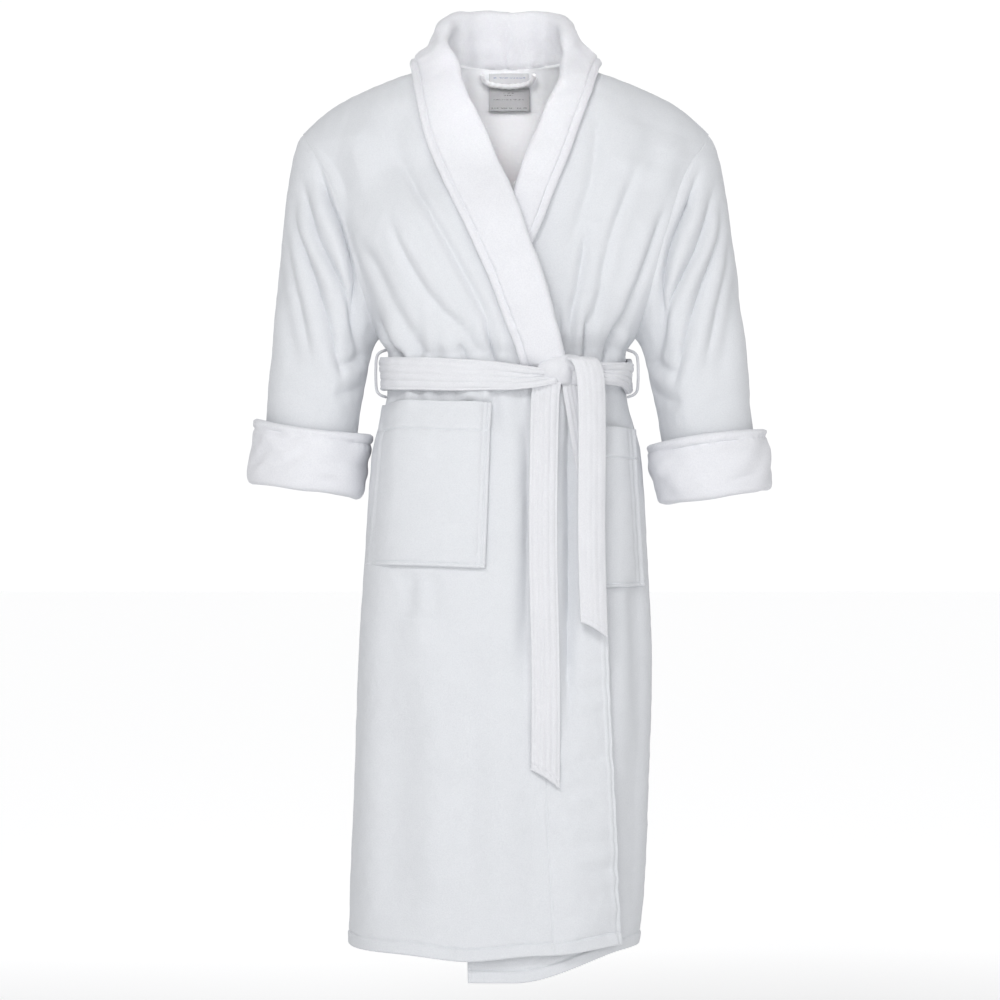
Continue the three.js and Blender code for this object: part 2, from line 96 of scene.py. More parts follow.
# ------------------------------------------------------------------ camera, light, floor (metres)
SENSOR = 36
CAMERA_DISTANCE = 4.6          # to the side seams' plane
VIEW_WIDTH = 1.36              # what the picture takes in there
ROBE_MIDDLE = (0, -0.1, -0.6)
NECK_MIDDLE = (0.003, -0.02, -0.05)
LIGHTS = [                     # name, place, target, size, watts, spread in degrees
    ("key", (-0.8, -3.3, 1.6), ROBE_MIDDLE, 1.2, 43, 180),
    ("fill_front", (0.1, -4.0, -0.2), ROBE_MIDDLE, 1.0, 10, 180),
    ("fill_low", (-0.2, -3.6, -1.0), ROBE_MIDDLE, 1.0, 14, 180),
    ("side_right", (1.7, -3.3, 0.4), ROBE_MIDDLE, 1.2, 15, 180),
    ("neck_light", (0, -1.9, 0.75), NECK_MIDDLE, 0.2, 0.05, 9),
]
WORLD_COLOR = (0.995, 0.998, 1.0, 1)
FLOOR_COLOR = (0.95, 0.95, 0.955, 1)
FLOOR_DROP = 0.3               # how far the floor lies under the hem
FLOOR_REACH = 30


def aim(obj, target):
    direction = np.array(target) - np.array(obj.location)
    yaw = math.atan2(-direction[0], direction[1])
    pitch = math.atan2(direction[2], math.hypot(direction[0], direction[1]))
    obj.rotation_euler = (math.pi / 2 + pitch, 0, yaw)


def add_object(name, data):
    obj = bpy.data.objects.new(name, data)
    bpy.context.scene.collection.objects.link(obj)
    return obj


def make_camera():
    data = bpy.data.cameras.new("camera")
    data.sensor_width = SENSOR
    data.lens = SENSOR * CAMERA_DISTANCE / VIEW_WIDTH
    camera = add_object("camera", data)
    camera.location = (-0.008, SIDE_Y * MM - CAMERA_DISTANCE, -0.6)
    camera.rotation_euler = (math.pi / 2, 0, 0)
    bpy.context.scene.camera = camera


def make_lights():
    for name, place, target, size, watts, spread in LIGHTS:
        data = bpy.data.lights.new(name, "AREA")
        data.shape = "DISK"
        data.size = size
        data.energy = watts
        data.spread = math.radians(spread)
        lamp = add_object(name, data)
        lamp.location = place
        aim(lamp, target)


def make_world():
    """White behind the robe, greyer in front of it, so that the key light shapes the folds."""
    world = bpy.data.worlds.new("studio")
    world.use_nodes = True
    tree = world.node_tree
    back = tree.nodes["Background"]
    behind = axes(tree, coordinates(tree, "Generated"))["Y"]
    tree.links.new(map_range(tree, behind, (0.1, 0.9), (0.48, 1.03)), back.inputs["Strength"])
    back.inputs["Color"].default_value = WORLD_COLOR
    bpy.context.scene.world = world
    bpy.context.scene.view_settings.view_transform = "Standard"
    bpy.context.scene.view_settings.look = "None"


def make_floor():
    """A pale floor that glows only well behind the robe, where it meets the white distance."""
    r, z = FLOOR_REACH, cad_low.z - FLOOR_DROP
    mesh = bpy.data.meshes.new("floor")
    mesh.from_pydata([(-r, -r, z), (r, -r, z), (r, r, z), (-r, r, z)], [], [(0, 1, 2, 3)])
    floor = add_object("floor", mesh)
    paint, tree, shader = new_material("floor_paint")
    shader.inputs["Base Color"].default_value = FLOOR_COLOR
    shader.inputs["Roughness"].default_value = 0.9
    shader.inputs["Emission Color"].default_value = (1, 1, 1, 1)
    behind = axes(tree, coordinates(tree, "Object"))["Y"]
    tree.links.new(map_range(tree, behind, (0.0, 2.4), (0.0, 0.4)), shader.inputs["Emission Strength"])
    mesh.materials.append(paint)


# ------------------------------------------------------------------ small maths
def smooth(low, high, x):
    t = np.clip((np.asarray(x, float) - low) / (high - low), 0, 1)
    return t * t * (3 - 2 * t)


def mix(a, b, t):
    return a + (b - a) * t


def unit(v):
    return v / np.maximum(np.linalg.norm(v, axis=-1, keepdims=True), 1e-9)


def curve_values(keys, values, x):
    """Monotone cubic through (keys, values): smooth, and without overshoot."""
    keys, values = np.asarray(keys, float), np.asarray(values, float)
    gap = np.diff(keys)
    slope = np.diff(values) / gap
    tangent = np.zeros_like(values)
    tangent[0], tangent[-1] = slope[0], slope[-1]
    same = slope[:-1] * slope[1:] > 0
    harmonic = 2 * slope[:-1] * slope[1:] / np.where(same, slope[:-1] + slope[1:], 1)
    tangent[1:-1] = np.where(same, harmonic, 0)
    x = np.clip(np.asarray(x, float), keys[0], keys[-1])
    i = np.clip(np.searchsorted(keys, x, side="right") - 1, 0, len(gap) - 1)
    t = (x - keys[i]) / gap[i]
    t2, t3 = t * t, t * t * t
    return (
        values[i] * (2 * t3 - 3 * t2 + 1)
        + gap[i] * tangent[i] * (t3 - 2 * t2 + t)
        + values[i + 1] * (3 * t2 - 2 * t3)
        + gap[i] * tangent[i + 1] * (t3 - t2)
    )


def path_points(points, count):
    """Catmull-Rom curve through given points, evenly spaced in arc length."""
    p = np.asarray(points, float)
    p = np.vstack([2 * p[0] - p[1], p, 2 * p[-1] - p[-2]])
    t = np.linspace(0, 1, 24, endpoint=False)[:, None]
    dense = []
    for a, b, c, d in zip(p[:-3], p[1:-2], p[2:-1], p[3:]):
        dense.append(0.5 * (2 * b + (c - a) * t + (2 * a - 5 * b + 4 * c - d) * t**2
                            + (3 * b - a - 3 * c + d) * t**3))
    dense = np.vstack([*dense, p[-2][None]])
    run = np.concatenate([[0], np.cumsum(np.linalg.norm(np.diff(dense, axis=0), axis=1))])
    want = np.linspace(0, run[-1], count)
    return np.stack([np.interp(want, run, dense[:, k]) for k in range(dense.shape[1])], axis=1)


def ripples(x, z, wavelength, seed):
    """Smooth irregular field of about unit height, from a few seeded plane waves."""
    rng = np.random.default_rng(SEED * 1000 + seed)
    total = np.zeros(np.broadcast(x, z).shape)
    for _ in range(9):
        turn, phase = rng.uniform(0, 2 * np.pi, 2)
        length = wavelength * rng.uniform(0.7, 1.6)
        total += np.sin(2 * np.pi * (x * np.cos(turn) + z * np.sin(turn)) / length + phase)
    return total / 3.0


def stroke(x, z, points, width, height, taper=0.3):
    """Ridge (or valley, for a negative height) along a line of given (x, z) points."""
    points = path_points(points, 2 + 6 * (len(points) - 1))
    run = np.concatenate([[0], np.cumsum(np.linalg.norm(np.diff(points, axis=0), axis=1))])
    near = np.full(np.shape(x), 1e9)
    place = np.zeros(np.shape(x))
    for k in range(len(points) - 1):
        (ax, az), (bx, bz) = points[k], points[k + 1]
        dx, dz = bx - ax, bz - az
        length2 = dx * dx + dz * dz
        t = np.clip(((x - ax) * dx + (z - az) * dz) / length2, 0, 1)
        gap = np.hypot(x - ax - t * dx, z - az - t * dz)
        closer = gap < near
        near = np.where(closer, gap, near)
        place = np.where(closer, (run[k] + t * math.sqrt(length2)) / run[-1], place)
    ends = smooth(0, taper, place) * (1 - smooth(1 - taper, 1, place)) if taper else 1.0
    return height * ends * np.exp(-((near / width) ** 2))


def strokes(x, z, table):
    total = np.zeros(np.shape(x))
    for width, height, points in table:
        total += stroke(x, z, points, width, height)
    return total


def lines(length, step, marks=()):
    """Grid lines from 0 to 1 along a length: close together at both rims and at the marks."""
    rim = [0, 0.5, 1.3, 2.4, 4.0]
    body = list(np.linspace(4.0, length - 4.0, max(2, int(round((length - 8) / step)) + 1)))
    at = rim + body[1:-1] + [length - r for r in rim]
    for mark in marks:
        at = [a for a in at if abs(a - mark) > 2.6]
        at += [mark - 2.4, mark - 1.2, mark, mark + 1.2, mark + 2.4]
    return np.unique(np.clip(at, 0, length)) / length


# ------------------------------------------------------------------ the body form
def armhole_share(z):
    return mix(1.0, 0.88, smooth(ARMPIT_Z, ARMPIT_Z + 90, z))


def shoulder_z(x):
    out = np.maximum(0, np.abs(x) - NECK_HALF)
    return -5 - 0.2 * out - 0.0011 * out**2 - 14 * smooth(215, 290, np.abs(x)) ** 1.5


def form_half(side, z):
    right, left = curve_values(FORM_Z, FORM["right"], z), curve_values(FORM_Z, FORM["left"], z)
    return np.where(side < 0, right, left) / armhole_share(z)


def neck_share(x):
    return np.clip(np.abs(x) / NECK_HALF, 0, 1) ** 3


def base_point(theta, z):
    """Point of the body form: theta is 0 at the front middle, +90 on the wearer's left, 180 behind."""
    theta, z = np.broadcast_arrays(np.asarray(theta, float), np.asarray(z, float))
    turned = (theta + 540) % 360 - 180
    side = np.where(turned < 0, -1, 1)
    is_front = np.abs(turned) <= 90
    share = np.sin(np.radians(np.where(is_front, np.abs(turned), 180 - np.abs(turned))))
    x = side * form_half(side, z) * share
    bulge = np.maximum(0, 1 - share**2.6) ** (1 / 2.2)
    ahead, behind = curve_values(FORM_Z, FORM["front"], z), curve_values(FORM_Z, FORM["back"], z)
    depth = np.where(is_front, -ahead, behind)
    y = SIDE_Y + depth * bulge
    top_y = np.where(is_front, SHOULDER_Y, SHOULDER_Y * neck_share(x))
    top_z = np.where(is_front, shoulder_z(x), shoulder_z(x) * neck_share(x))
    rise = np.clip((z - ARMPIT_Z) / (top_z - ARMPIT_Z), 0, 1)
    y = np.where(z > ARMPIT_Z, top_y + (y - top_y) * np.maximum(0, 1 - rise**3.2) ** 0.6, y)
    return np.stack([x, y, z], axis=-1)


def body_point(theta, z, offset=0.0):
    across = base_point(theta + 0.6, z) - base_point(theta - 0.6, z)
    span = mix(14.0, 2.0, smooth(-360, -300, z))     # wide at the waist, where the form bends inwards
    up = base_point(theta, z + span) - base_point(theta, z - span)
    return base_point(theta, z) + unit(np.cross(across, up)) * np.asarray(offset)[..., None]


def theta_at(x, z):
    side = np.where(np.asarray(x) < 0, -1, 1)
    share = np.minimum(1, np.abs(x) / form_half(side, z))
    return side * np.degrees(np.arcsin(share))


def theta_for(x, z, offset):
    """Theta at which a point standing off the form by offset lies at x."""
    guess = np.array(x, float)
    for _ in range(4):
        guess = guess - (body_point(theta_at(guess, z), z, offset)[..., 0] - x)
    return theta_at(guess, z)


def side_theta(side, z):
    return side * np.degrees(np.arcsin(armhole_share(z)))


# ------------------------------------------------------------------ lines of the fronts
# Free edges, as z and x.
OVER_EDGE = np.array([
    (-1260, 153), (-1186, 152), (-1062, 147), (-864, 138), (-732, 132), (-560, 115), (-440, 92),
    (-401, 78), (-267, 34), (-203, 10), (-150, -13), (-97, -36), (-57, -56), (0, -68.0)])
UNDER_EDGE = np.array([
    (-1260, -50), (-800, -60), (-440, -70), (-300, -25), (-245, 0), (-200, 13), (-170, 18),
    (-134, 31), (-88, 52), (-48, 71), (0, 80.0)])
HIDDEN = 22.0                  # the panels' edges lie this far in under the lapels


def over_edge(z):
    return curve_values(OVER_EDGE[:, 0], OVER_EDGE[:, 1], z) - HIDDEN * smooth(-440, -400, z)


def under_edge(z):
    return curve_values(UNDER_EDGE[:, 0], UNDER_EDGE[:, 1], z) + HIDDEN * smooth(-230, -180, z)


def wrap_share(z):
    return 1 - smooth(-235, -150, z)


def over_offset(theta, z):
    lift = mix(SKIRT_LIFT, OVER_LIFT, smooth(-900, -740, z))
    return lift * smooth(-0.98, -0.55, theta / side_theta(1, z)) * wrap_share(z)


def under_offset(theta, z):
    return -UNDER_DROP * (1 - smooth(0.55, 0.96, theta / side_theta(1, z))) * wrap_share(z)


# ------------------------------------------------------------------ meshes
SHARP_ANGLE = 62               # edges bent further than this are shaded as edges
SEWN = 0.5                     # rounding of an edge that is sewn to the next piece


def make_object(name, points, faces, material):
    mesh = bpy.data.meshes.new(name)
    mesh.from_pydata((points * MM).tolist(), [], faces)
    mesh.validate()
    mesh.polygons.foreach_set("use_smooth", [True] * len(mesh.polygons))
    mesh.set_sharp_from_angle(angle=math.radians(SHARP_ANGLE))
    mesh.materials.append(material)
    return add_object(name, mesh)


def grid_normals(mid, ring):
    if ring:
        across = np.roll(mid, -1, axis=1) - np.roll(mid, 1, axis=1)
    else:
        across = np.gradient(mid, axis=1)
    down = np.gradient(mid, axis=0)
    return unit(np.cross(across, down))


def rim_rounding(mid, radii, ring):
    """Share of the full thickness at each grid point: it falls round a curve towards the rims.

    radii are those of the first and last row, then of the first and last column."""
    total = np.ones(mid.shape[:2])
    for axis in (0,) if ring else (0, 1):
        step = np.linalg.norm(np.diff(mid, axis=axis), axis=2)
        pad = [(0, 0), (0, 0)]
        pad[axis] = (1, 0)
        run = np.cumsum(np.pad(step, pad), axis=axis)
        end = run[:, -1:] if axis == 1 else run[-1:]
        for gap, radius in ((run, radii[2 * axis]), (end - run, radii[2 * axis + 1])):
            t = np.clip(gap / radius, 0, 1)
            least = 0.85 if radius == SEWN else 0.14
            total = np.minimum(total, least + (1 - least) * np.sqrt(1 - (1 - t) ** 2))
    return total


def skins(mid, thickness, relief=0.0, ring=False, flip=False, rim=None, sewn=""):
    """Outer and inner skin of a cloth whose middle is a grid of points; relief lifts the outer skin only.

    sewn names the edges that meet another piece: b(ottom), t(op), l(eft), r(ight) of the grid."""
    normal = grid_normals(mid, ring) * (-1 if flip else 1)
    rim = rim or np.max(thickness) / 2
    rounding = rim_rounding(mid, [SEWN if edge in sewn else rim for edge in "btlr"], ring)
    half = np.asarray(thickness) / 2 * rounding
    outer = mid + normal * (half + np.asarray(relief) * rounding)[..., None]
    inner = mid - normal * np.broadcast_to(half, outer.shape[:2])[..., None]
    return outer, inner, flip


def cloth(name, skin_pair, material, ring=False):
    outer, inner, flip = skin_pair
    rows, columns = outer.shape[:2]
    count = rows * columns
    index = np.arange(count).reshape(rows, columns)
    following = np.roll(index, -1, axis=1) if ring else index[:, 1:]
    here = index if ring else index[:, :-1]
    a, b, c, d = here[:-1], following[:-1], following[1:], here[1:]
    front = np.stack([a, b, c, d], axis=-1).reshape(-1, 4)
    back = np.stack([a, d, c, b], axis=-1).reshape(-1, 4) + count
    rims = []

    def rim(line, far):
        rims.append(np.stack([line, line + count, far + count, far], axis=-1))
    rim(here[0], following[0])
    rim(following[-1], here[-1])
    if not ring:
        rim(index[1:, 0], index[:-1, 0])
        rim(index[:-1, -1], index[1:, -1])
    faces = np.vstack([front, back, *rims])
    if flip:
        faces = faces[:, ::-1]
    points = np.vstack([outer.reshape(-1, 3), inner.reshape(-1, 3)])
    return make_object(name, points, faces.tolist(), material)


def sheet_piece(name, pair, body, node, slot, ring=False, material=None):
    """A piece without a body is not attached to any."""
    obj = cloth(name, pair, MATERIAL[material or slot], ring)
    if node:
        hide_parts(node)
    if body:
        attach(obj, body)
    return obj


# ------------------------------------------------------------------ folds
# Rows are (width, height, line of (x, z) points); a negative height is a valley.
CHEST_RIGHT_FOLDS = [
    (8, -10, [(-150, -120), (-120, -188), (-76, -265), (-32, -345), (-2, -415)]),
    (19, 6, [(-128, -160), (-98, -235), (-52, -318), (-20, -390)]),
    (8, -9, [(-165, -205), (-128, -285), (-88, -342), (-42, -387), (-28, -424)]),
    (17, 6, [(-158, -215), (-116, -285), (-72, -345), (-44, -385)]),
    (9, -9, [(-200, -235), (-170, -290), (-138, -355), (-108, -398), (-98, -424)]),
    (17, 6, [(-212, -200), (-180, -275), (-152, -335), (-122, -395)]),
    (6, -8, [(-176, -345), (-160, -375), (-143, -400), (-136, -424)]),
    (8, 4, [(-166, -345), (-148, -378), (-128, -402), (-122, -424)]),
    (4, -9, [(-30, -362), (-20, -392), (-12, -428)]),
    (6, 4, [(-8, -368), (-4, -395), (0, -424)]),
    (5, -7, [(-64, -378), (-56, -402), (-52, -428)]),
    (8, 4, [(-78, -375), (-72, -402), (-70, -424)]),
    (22, -6, [(-130, -60), (-150, -110), (-146, -180)]),
    (20, 6, [(-190, -80), (-196, -140), (-186, -200)]),
    (26, -5, [(-225, -110), (-228, -160), (-215, -215)]),
    (10, -9, [(-252, -160), (-232, -215), (-212, -270), (-196, -330), (-182, -385)]),
]
CHEST_LEFT_FOLDS = [
    (8, -10, [(226, -190), (197, -255), (168, -330), (140, -395), (128, -424)]),
    (15, 6, [(206, -205), (182, -270), (156, -340), (130, -405)]),
    (8, -8, [(186, -130), (158, -195), (134, -269), (120, -350), (108, -424)]),
    (16, 6, [(166, -150), (142, -235), (126, -310), (118, -380)]),
    (7, -8, [(112, -210), (100, -290), (90, -350), (84, -424)]),
    (10, 6, [(98, -330), (96, -370), (94, -424)]),
    (4, -8, [(108, -350), (104, -385), (102, -428)]),
    (7, 5, [(122, -350), (118, -385), (114, -424)]),
    (4, -8, [(152, -360), (138, -395), (126, -428)]),
    (7, 5, [(162, -368), (152, -394), (144, -424)]),
    (4, -8, [(172, -372), (164, -398), (156, -428)]),
    (5, -7, [(66, -330), (72, -372), (72, -428)]),
    (24, -4, [(200, -66), (196, -115), (176, -165)]),
    (24, 4, [(168, -75), (166, -125), (150, -170)]),
    (16, 5, [(226, -105), (216, -150), (196, -195)]),
    (9, -6, [(124, -60), (118, -150), (96, -230), (70, -290)]),
    (10, -9, [(252, -160), (236, -215), (218, -270), (202, -330), (188, -385)]),
]
SKIRT_OVER_FOLDS = [
    (12, -9, [(24, -440), (28, -520), (30, -640), (26, -760), (22, -880)]),
    (15, 6, [(48, -440), (52, -600), (54, -800), (52, -960)]),
    (9, -11, [(84, -430), (84, -560), (84, -740), (82, -940)]),
    (14, 3, [(110, -450), (116, -620), (122, -800)]),
    (14, -4, [(-124, -690), (-126, -720), (-124, -760)]),
    (12, -3.5, [(-98, -690), (-97, -720), (-99, -760)]),
    (16, 3, [(-111, -690), (-112, -740), (-113, -820)]),
    (34, -4, [(-133, -800), (-136, -1023), (-142, -1215)]),
    (36, 4, [(-92, -760), (-94, -980), (-96, -1215)]),
    (30, -4, [(-48, -760), (-50, -950), (-54, -1215)]),
    (34, 4, [(-8, -800), (-6, -1000), (-4, -1215)]),
    (26, -3, [(34, -960), (36, -1080), (38, -1215)]),
    (20, 3.5, [(-170, -690), (-178, -900), (-182, -1215)]),
    (9, -5, [(-150, -440), (-150, -462), (-149, -490)]),
    (8, -4, [(-20, -440), (-16, -470), (-14, -520)]),
    (9, 5, [(-49, -448), (-48, -462), (-48, -474)]),
    (7, 5, [(-26, -448), (-25, -462), (-25, -474)]),
]
SKIRT_UNDER_FOLDS = [
    (18, -5, [(166, -440), (170, -560), (172, -700), (170, -900)]),
    (18, 5, [(148, -450), (152, -600), (156, -800), (158, -1000)]),
    (24, -4, [(176, -760), (174, -960), (168, -1200)]),
    (24, 4, [(20, -900), (24, -1080), (26, -1240)]),
    (26, -4, [(70, -900), (74, -1080), (76, -1240)]),
]
BACK_FOLDS = [
    (22, -5, [(-150, -120), (-120, -230), (-96, -330), (-80, -420)]),
    (22, -5, [(158, -120), (128, -230), (100, -330), (86, -420)]),
    (18, 4, [(-60, -200), (-52, -300), (-46, -420)]),
    (18, 4, [(52, -210), (46, -300), (40, -420)]),
    (11, -5, [(-112, -350), (-108, -390), (-106, -430)]),
    (10, -5, [(-70, -360), (-68, -395), (-66, -430)]),
    (10, -5, [(-24, -350), (-22, -390), (-22, -430)]),
    (10, -5, [(20, -356), (20, -392), (20, -430)]),
    (11, -5, [(64, -350), (64, -390), (62, -430)]),
    (11, -5, [(112, -356), (110, -390), (108, -430)]),
    (16, -6, [(-120, -430), (-130, -560), (-138, -760), (-140, -980)]),
    (20, 6, [(-84, -430), (-92, -600), (-98, -850), (-100, -1215)]),
    (16, -6, [(-44, -430), (-50, -600), (-54, -850), (-56, -1215)]),
    (20, 6, [(-4, -430), (-6, -600), (-8, -900), (-8, -1215)]),
    (16, -6, [(36, -430), (40, -600), (44, -850), (46, -1215)]),
    (20, 6, [(76, -430), (84, -600), (90, -850), (92, -1215)]),
    (18, -6, [(118, -430), (128, -600), (136, -850), (140, -1215)]),
]


def gathers(x, z, seed, depth=1.6):
    """Fine pleats where the belt draws the cloth in, dying away above and below it."""
    near = np.exp(-np.clip(z - BELT_Z - BELT_WIDTH / 2, 0, None) / 34) * (z > BELT_Z)
    near = np.where(z <= BELT_Z, np.exp(-np.clip(BELT_Z - BELT_WIDTH / 2 - z, 0, None) / 46), near)
    rng = np.random.default_rng(SEED + seed)
    wave = np.zeros(np.shape(x))
    for _ in range(4):
        wave += np.sin(2 * np.pi * x / rng.uniform(17, 34) + rng.uniform(0, 6.3))
    return depth * near * wave / 2


# Where the right lapel's outer edge lies on the chest.
LAPEL_EDGE_Z = [-412, -394, -358, -300, -238, -187, -125, -66, -28]
LAPEL_EDGE_X = [18, 14, -2, -25, -55, -80, -106, -120, -127]


def over_relief(x, z):
    # The folds are flatter behind the pocket.
    flat = 1 - (0.75 * smooth(-205, -165, x) * (1 - smooth(-30, -10, x))
                * smooth(-700, -680, z) * smooth(-470, -490, z))
    folds = strokes(x, z, CHEST_RIGHT_FOLDS) + 1.4 * strokes(x, z, SKIRT_OVER_FOLDS)
    under_lapel = smooth(-4, 14, x - np.interp(z, LAPEL_EDGE_Z, LAPEL_EDGE_X)) * smooth(-440, -415, z)
    free = 1 - under_lapel
    return folds * flat * free + gathers(x, z, 1) * (0.2 + 0.8 * free) + 1.2 * ripples(x, z, 110, 1)


def under_relief(x, z):
    folds = strokes(x, z, CHEST_LEFT_FOLDS) + 1.4 * strokes(x, z, SKIRT_UNDER_FOLDS)
    clear_of_lapel = smooth(40, 75, x + 0.25 * (z + 300) * (z > -300))
    return folds * clear_of_lapel + gathers(x, z, 2) + 0.8 * ripples(x, z, 110, 2)


def back_relief(x, z):
    return strokes(x, z, BACK_FOLDS) + gathers(x, z, 3) + 0.9 * ripples(x, z, 130, 3)


def groove(distance, depth=1.0, width=1.5):
    return -depth * np.exp(-((distance / width) ** 2))


# ------------------------------------------------------------------ cloth panels
def panel_grid(hem, step, u, first, last, top, hem_drop):
    """Theta and height of a panel's points. first and last are its side edges by height, top is its
    upper edge by x, and hem_drop is how far the hem is lifted, by x."""
    lower = lines(ARMPIT_Z - hem, step, (HEM_BAND,))
    lower = lower[lower < 1 - 3.0 / (ARMPIT_Z - hem)]
    # Above the armpit the rows close up where the cloth turns over the shoulder.
    upper = 1 - (1 - np.linspace(0, 1, int(400 / step) + 1)) ** 1.6
    thetas, heights = [], []
    for level in [*lower, *(1 + upper)]:
        z = np.full(u.shape, mix(hem, ARMPIT_Z, level) if level < 1 else mix(ARMPIT_Z, -40, level - 1))
        for _ in range(4):
            across = mix(first(z), last(z), u)
            x = base_point(across, z)[..., 0]
            if level >= 1:
                z = mix(ARMPIT_Z, top(x), level - 1)
        if level < 1:
            z = z + hem_drop(x) * (1 - smooth(hem, hem + 160, z))
        thetas.append(across)
        heights.append(z)
    return np.array(thetas), np.array(heights)


def front_panel(side, hem, edge, offset, relief, hem_drop, step):
    u = lines(430, step, (4.3, 9.8, 97.0, 101.0, 105.0))
    table_z = np.linspace(hem, 0, 400)
    table_x = edge(table_z)
    free_edge = theta_for(table_x, table_z, offset(theta_at(table_x, table_z), table_z))
    theta, z = panel_grid(hem, step, u, lambda z: np.interp(z, table_z, free_edge),
                          lambda z: side_theta(side, z), shoulder_z, hem_drop)
    if side < 0:
        theta, z = theta[:, ::-1], z[:, ::-1]
    x = body_point(theta, z, offset(theta, z))[..., 0]
    seam = np.abs(np.abs(x) - form_half(side, z) * armhole_share(z))
    mid = body_point(theta, z, offset(theta, z) + relief(x, z) * settled(seam, shoulder_z(x) - z))
    # The top edge reaches a little over the shoulder seam, into the back panel's.
    mid[..., 1] += SEAM_LAP * (1 - smooth(0, 9, shoulder_z(x) - z))
    return z, mid, x


def settled(from_side, from_top):
    """Share of a panel's relief: none at its side and shoulder seams."""
    return smooth(0, 16, from_side) * smooth(0, 14, from_top)


def hem_relief(z, hem, x, seed):
    """Turned hem: a doubled band, a stitch line above it, and the pucker the stitches draw in."""
    up = z - hem
    band = 1.3 * (1 - smooth(HEM_BAND - 2, HEM_BAND + 1, up))
    pucker = 0.5 * ripples(x, z * 0.4, 16, seed) * np.exp(-((up - HEM_BAND) / 9) ** 2)
    return band + groove(up - HEM_BAND, 1.5, 1.6) + pucker


def over_drop(x):
    return -8 * np.exp(-(((x + 50) / 60) ** 2)) + 9 * smooth(60, 150, x)


def under_drop(x):
    return 38 * smooth(10, 178, x)


def build_over_front():
    z, mid, x = front_panel(-1, HEM_Z, over_edge, over_offset, over_relief, over_drop, 4.2)
    from_edge = over_edge(z) - x
    low = 1 - smooth(-410, -380, z)
    facing_line = (x - mix(62.0, 54.0, smooth(-1192, -990, z)))
    strip = smooth(-4, 4, facing_line) * (1 - smooth(-960, -900, z))
    relief = (hem_relief(z, HEM_Z + over_drop(x) * (z < -1100), x, 11)
              + groove(from_edge - 4.5, 1.0, 1.3) * low + groove(from_edge - 10.5, 0.9, 1.3) * low
              + 0.8 * (1 - smooth(10, 12, from_edge)) * low
              + groove(facing_line, 1.2, 1.5) * (1 - smooth(-960, -920, z))
              + strip * 0.9 * ripples(x * 0.3, z, 24, 12)
              + 0.9 * ripples(x * 0.3, z, 26, 18) * smooth(78, 92, x) * (1 - smooth(-740, -690, z))
              + 0.25 * ripples(x, z, 24, 13))
    sheet_piece("right_front", skins(mid, CLOTH, relief, sewn="tl"), "robe", "right_front_panel",
                "robe_terry")


def build_under_front():
    z, mid, x = front_panel(1, UNDER_HEM_Z, under_edge, under_offset, under_relief, under_drop, 4.6)
    from_edge = x - under_edge(z)
    relief = (hem_relief(z, UNDER_HEM_Z + under_drop(x) * (z < -1100), x, 14)
              + groove(from_edge - 4.5, 0.9, 1.3) + groove(x - 40, 1.0, 1.5) * (1 - smooth(-1100, -1000, z))
              + 0.25 * ripples(x, z, 24, 15))
    sheet_piece("left_front", skins(mid, CLOTH, relief, sewn="tr"), "robe", "left_front_panel",
                "robe_terry")


def build_back(step=4.8):
    theta, z = panel_grid(HEM_Z, step, lines(560, step), lambda z: 180 - side_theta(1, z),
                          lambda z: 360 - (180 - side_theta(1, z)),
                          lambda x: shoulder_z(x) * neck_share(x), lambda x: 0 * x)
    x = body_point(theta, z)[..., 0]
    seam = form_half(np.where(x < 0, -1, 1), z) * armhole_share(z) - np.abs(x)
    settle = settled(seam, shoulder_z(x) * neck_share(x) - z)
    mid = body_point(theta, z, back_relief(x, z) * settle)
    mid[..., 1] -= SEAM_LAP * (1 - smooth(0, 9, shoulder_z(x) - z)) * smooth(66, 84, np.abs(x))
    relief = (hem_relief(z, HEM_Z, x, 16) + 0.25 * ripples(x, z, 24, 17)
              + groove(z + 26, 0.9, 1.5) * smooth(120, 100, np.abs(x)))
    # The back takes the terry with painted light on its inside, seen through the neck.
    sheet_piece("back", skins(mid, CLOTH, relief, sewn="tlr"), "robe", "back_panel",
                "robe_terry", material="back_terry")


def build_facings():
    """Lining strips behind the fronts' free edges, from just over the hem to the belt."""
    top, inset, width = -402, 14, 84.0
    for name, node, sign, hem, edge, offset, relief in (
            ("right_facing", "right_front_facing", 1, HEM_Z, over_edge, over_offset, over_relief),
            ("left_facing", "left_front_facing", -1, UNDER_HEM_Z, under_edge, under_offset, under_relief)):
        v = lines(top - hem - inset, 6.0)
        u = lines(82, 5.0)
        z = (hem + inset + v * (top - hem - inset))[:, None] + 0 * u
        x = edge(z) - sign * mix(width, 3.0, u)
        theta = theta_for(x, z, offset(theta_at(x, z), z))
        mid = body_point(theta, z, offset(theta, z) + relief(x, z) - CLOTH / 2 - 1.9)
        pair = skins(mid, 2.6, flip=sign < 0)
        sheet_piece(name, pair, "robe", node, "robe_terry")


# ------------------------------------------------------------------ shawl collar
# Right half, neck first: seam, fold and outer edge of each row, as x, y, z. The left half is its mirror.
COLLAR_NECK = [
    ((0, 0, -3), (0, 3, 76), (0, 31, -14)),
    ((30, -5, -3), (37, 0, 78), (44, 27, -14)),
    ((55, -26, -4), (69, -16, 73), (85, 8, -8)),
    ((71, -55, -5), (84, -44, 57), (108, -32, -4)),
    ((84, -80, -6), (82, -87, 26), (125, -64, -6)),
]
NECK_RADII = (13, 13.5, 13.5, 11, 8)             # of the roll, row by row
NECK_PUFFS = (5, 7, 10, 10, 8)                   # how far the fall stands out, row by row
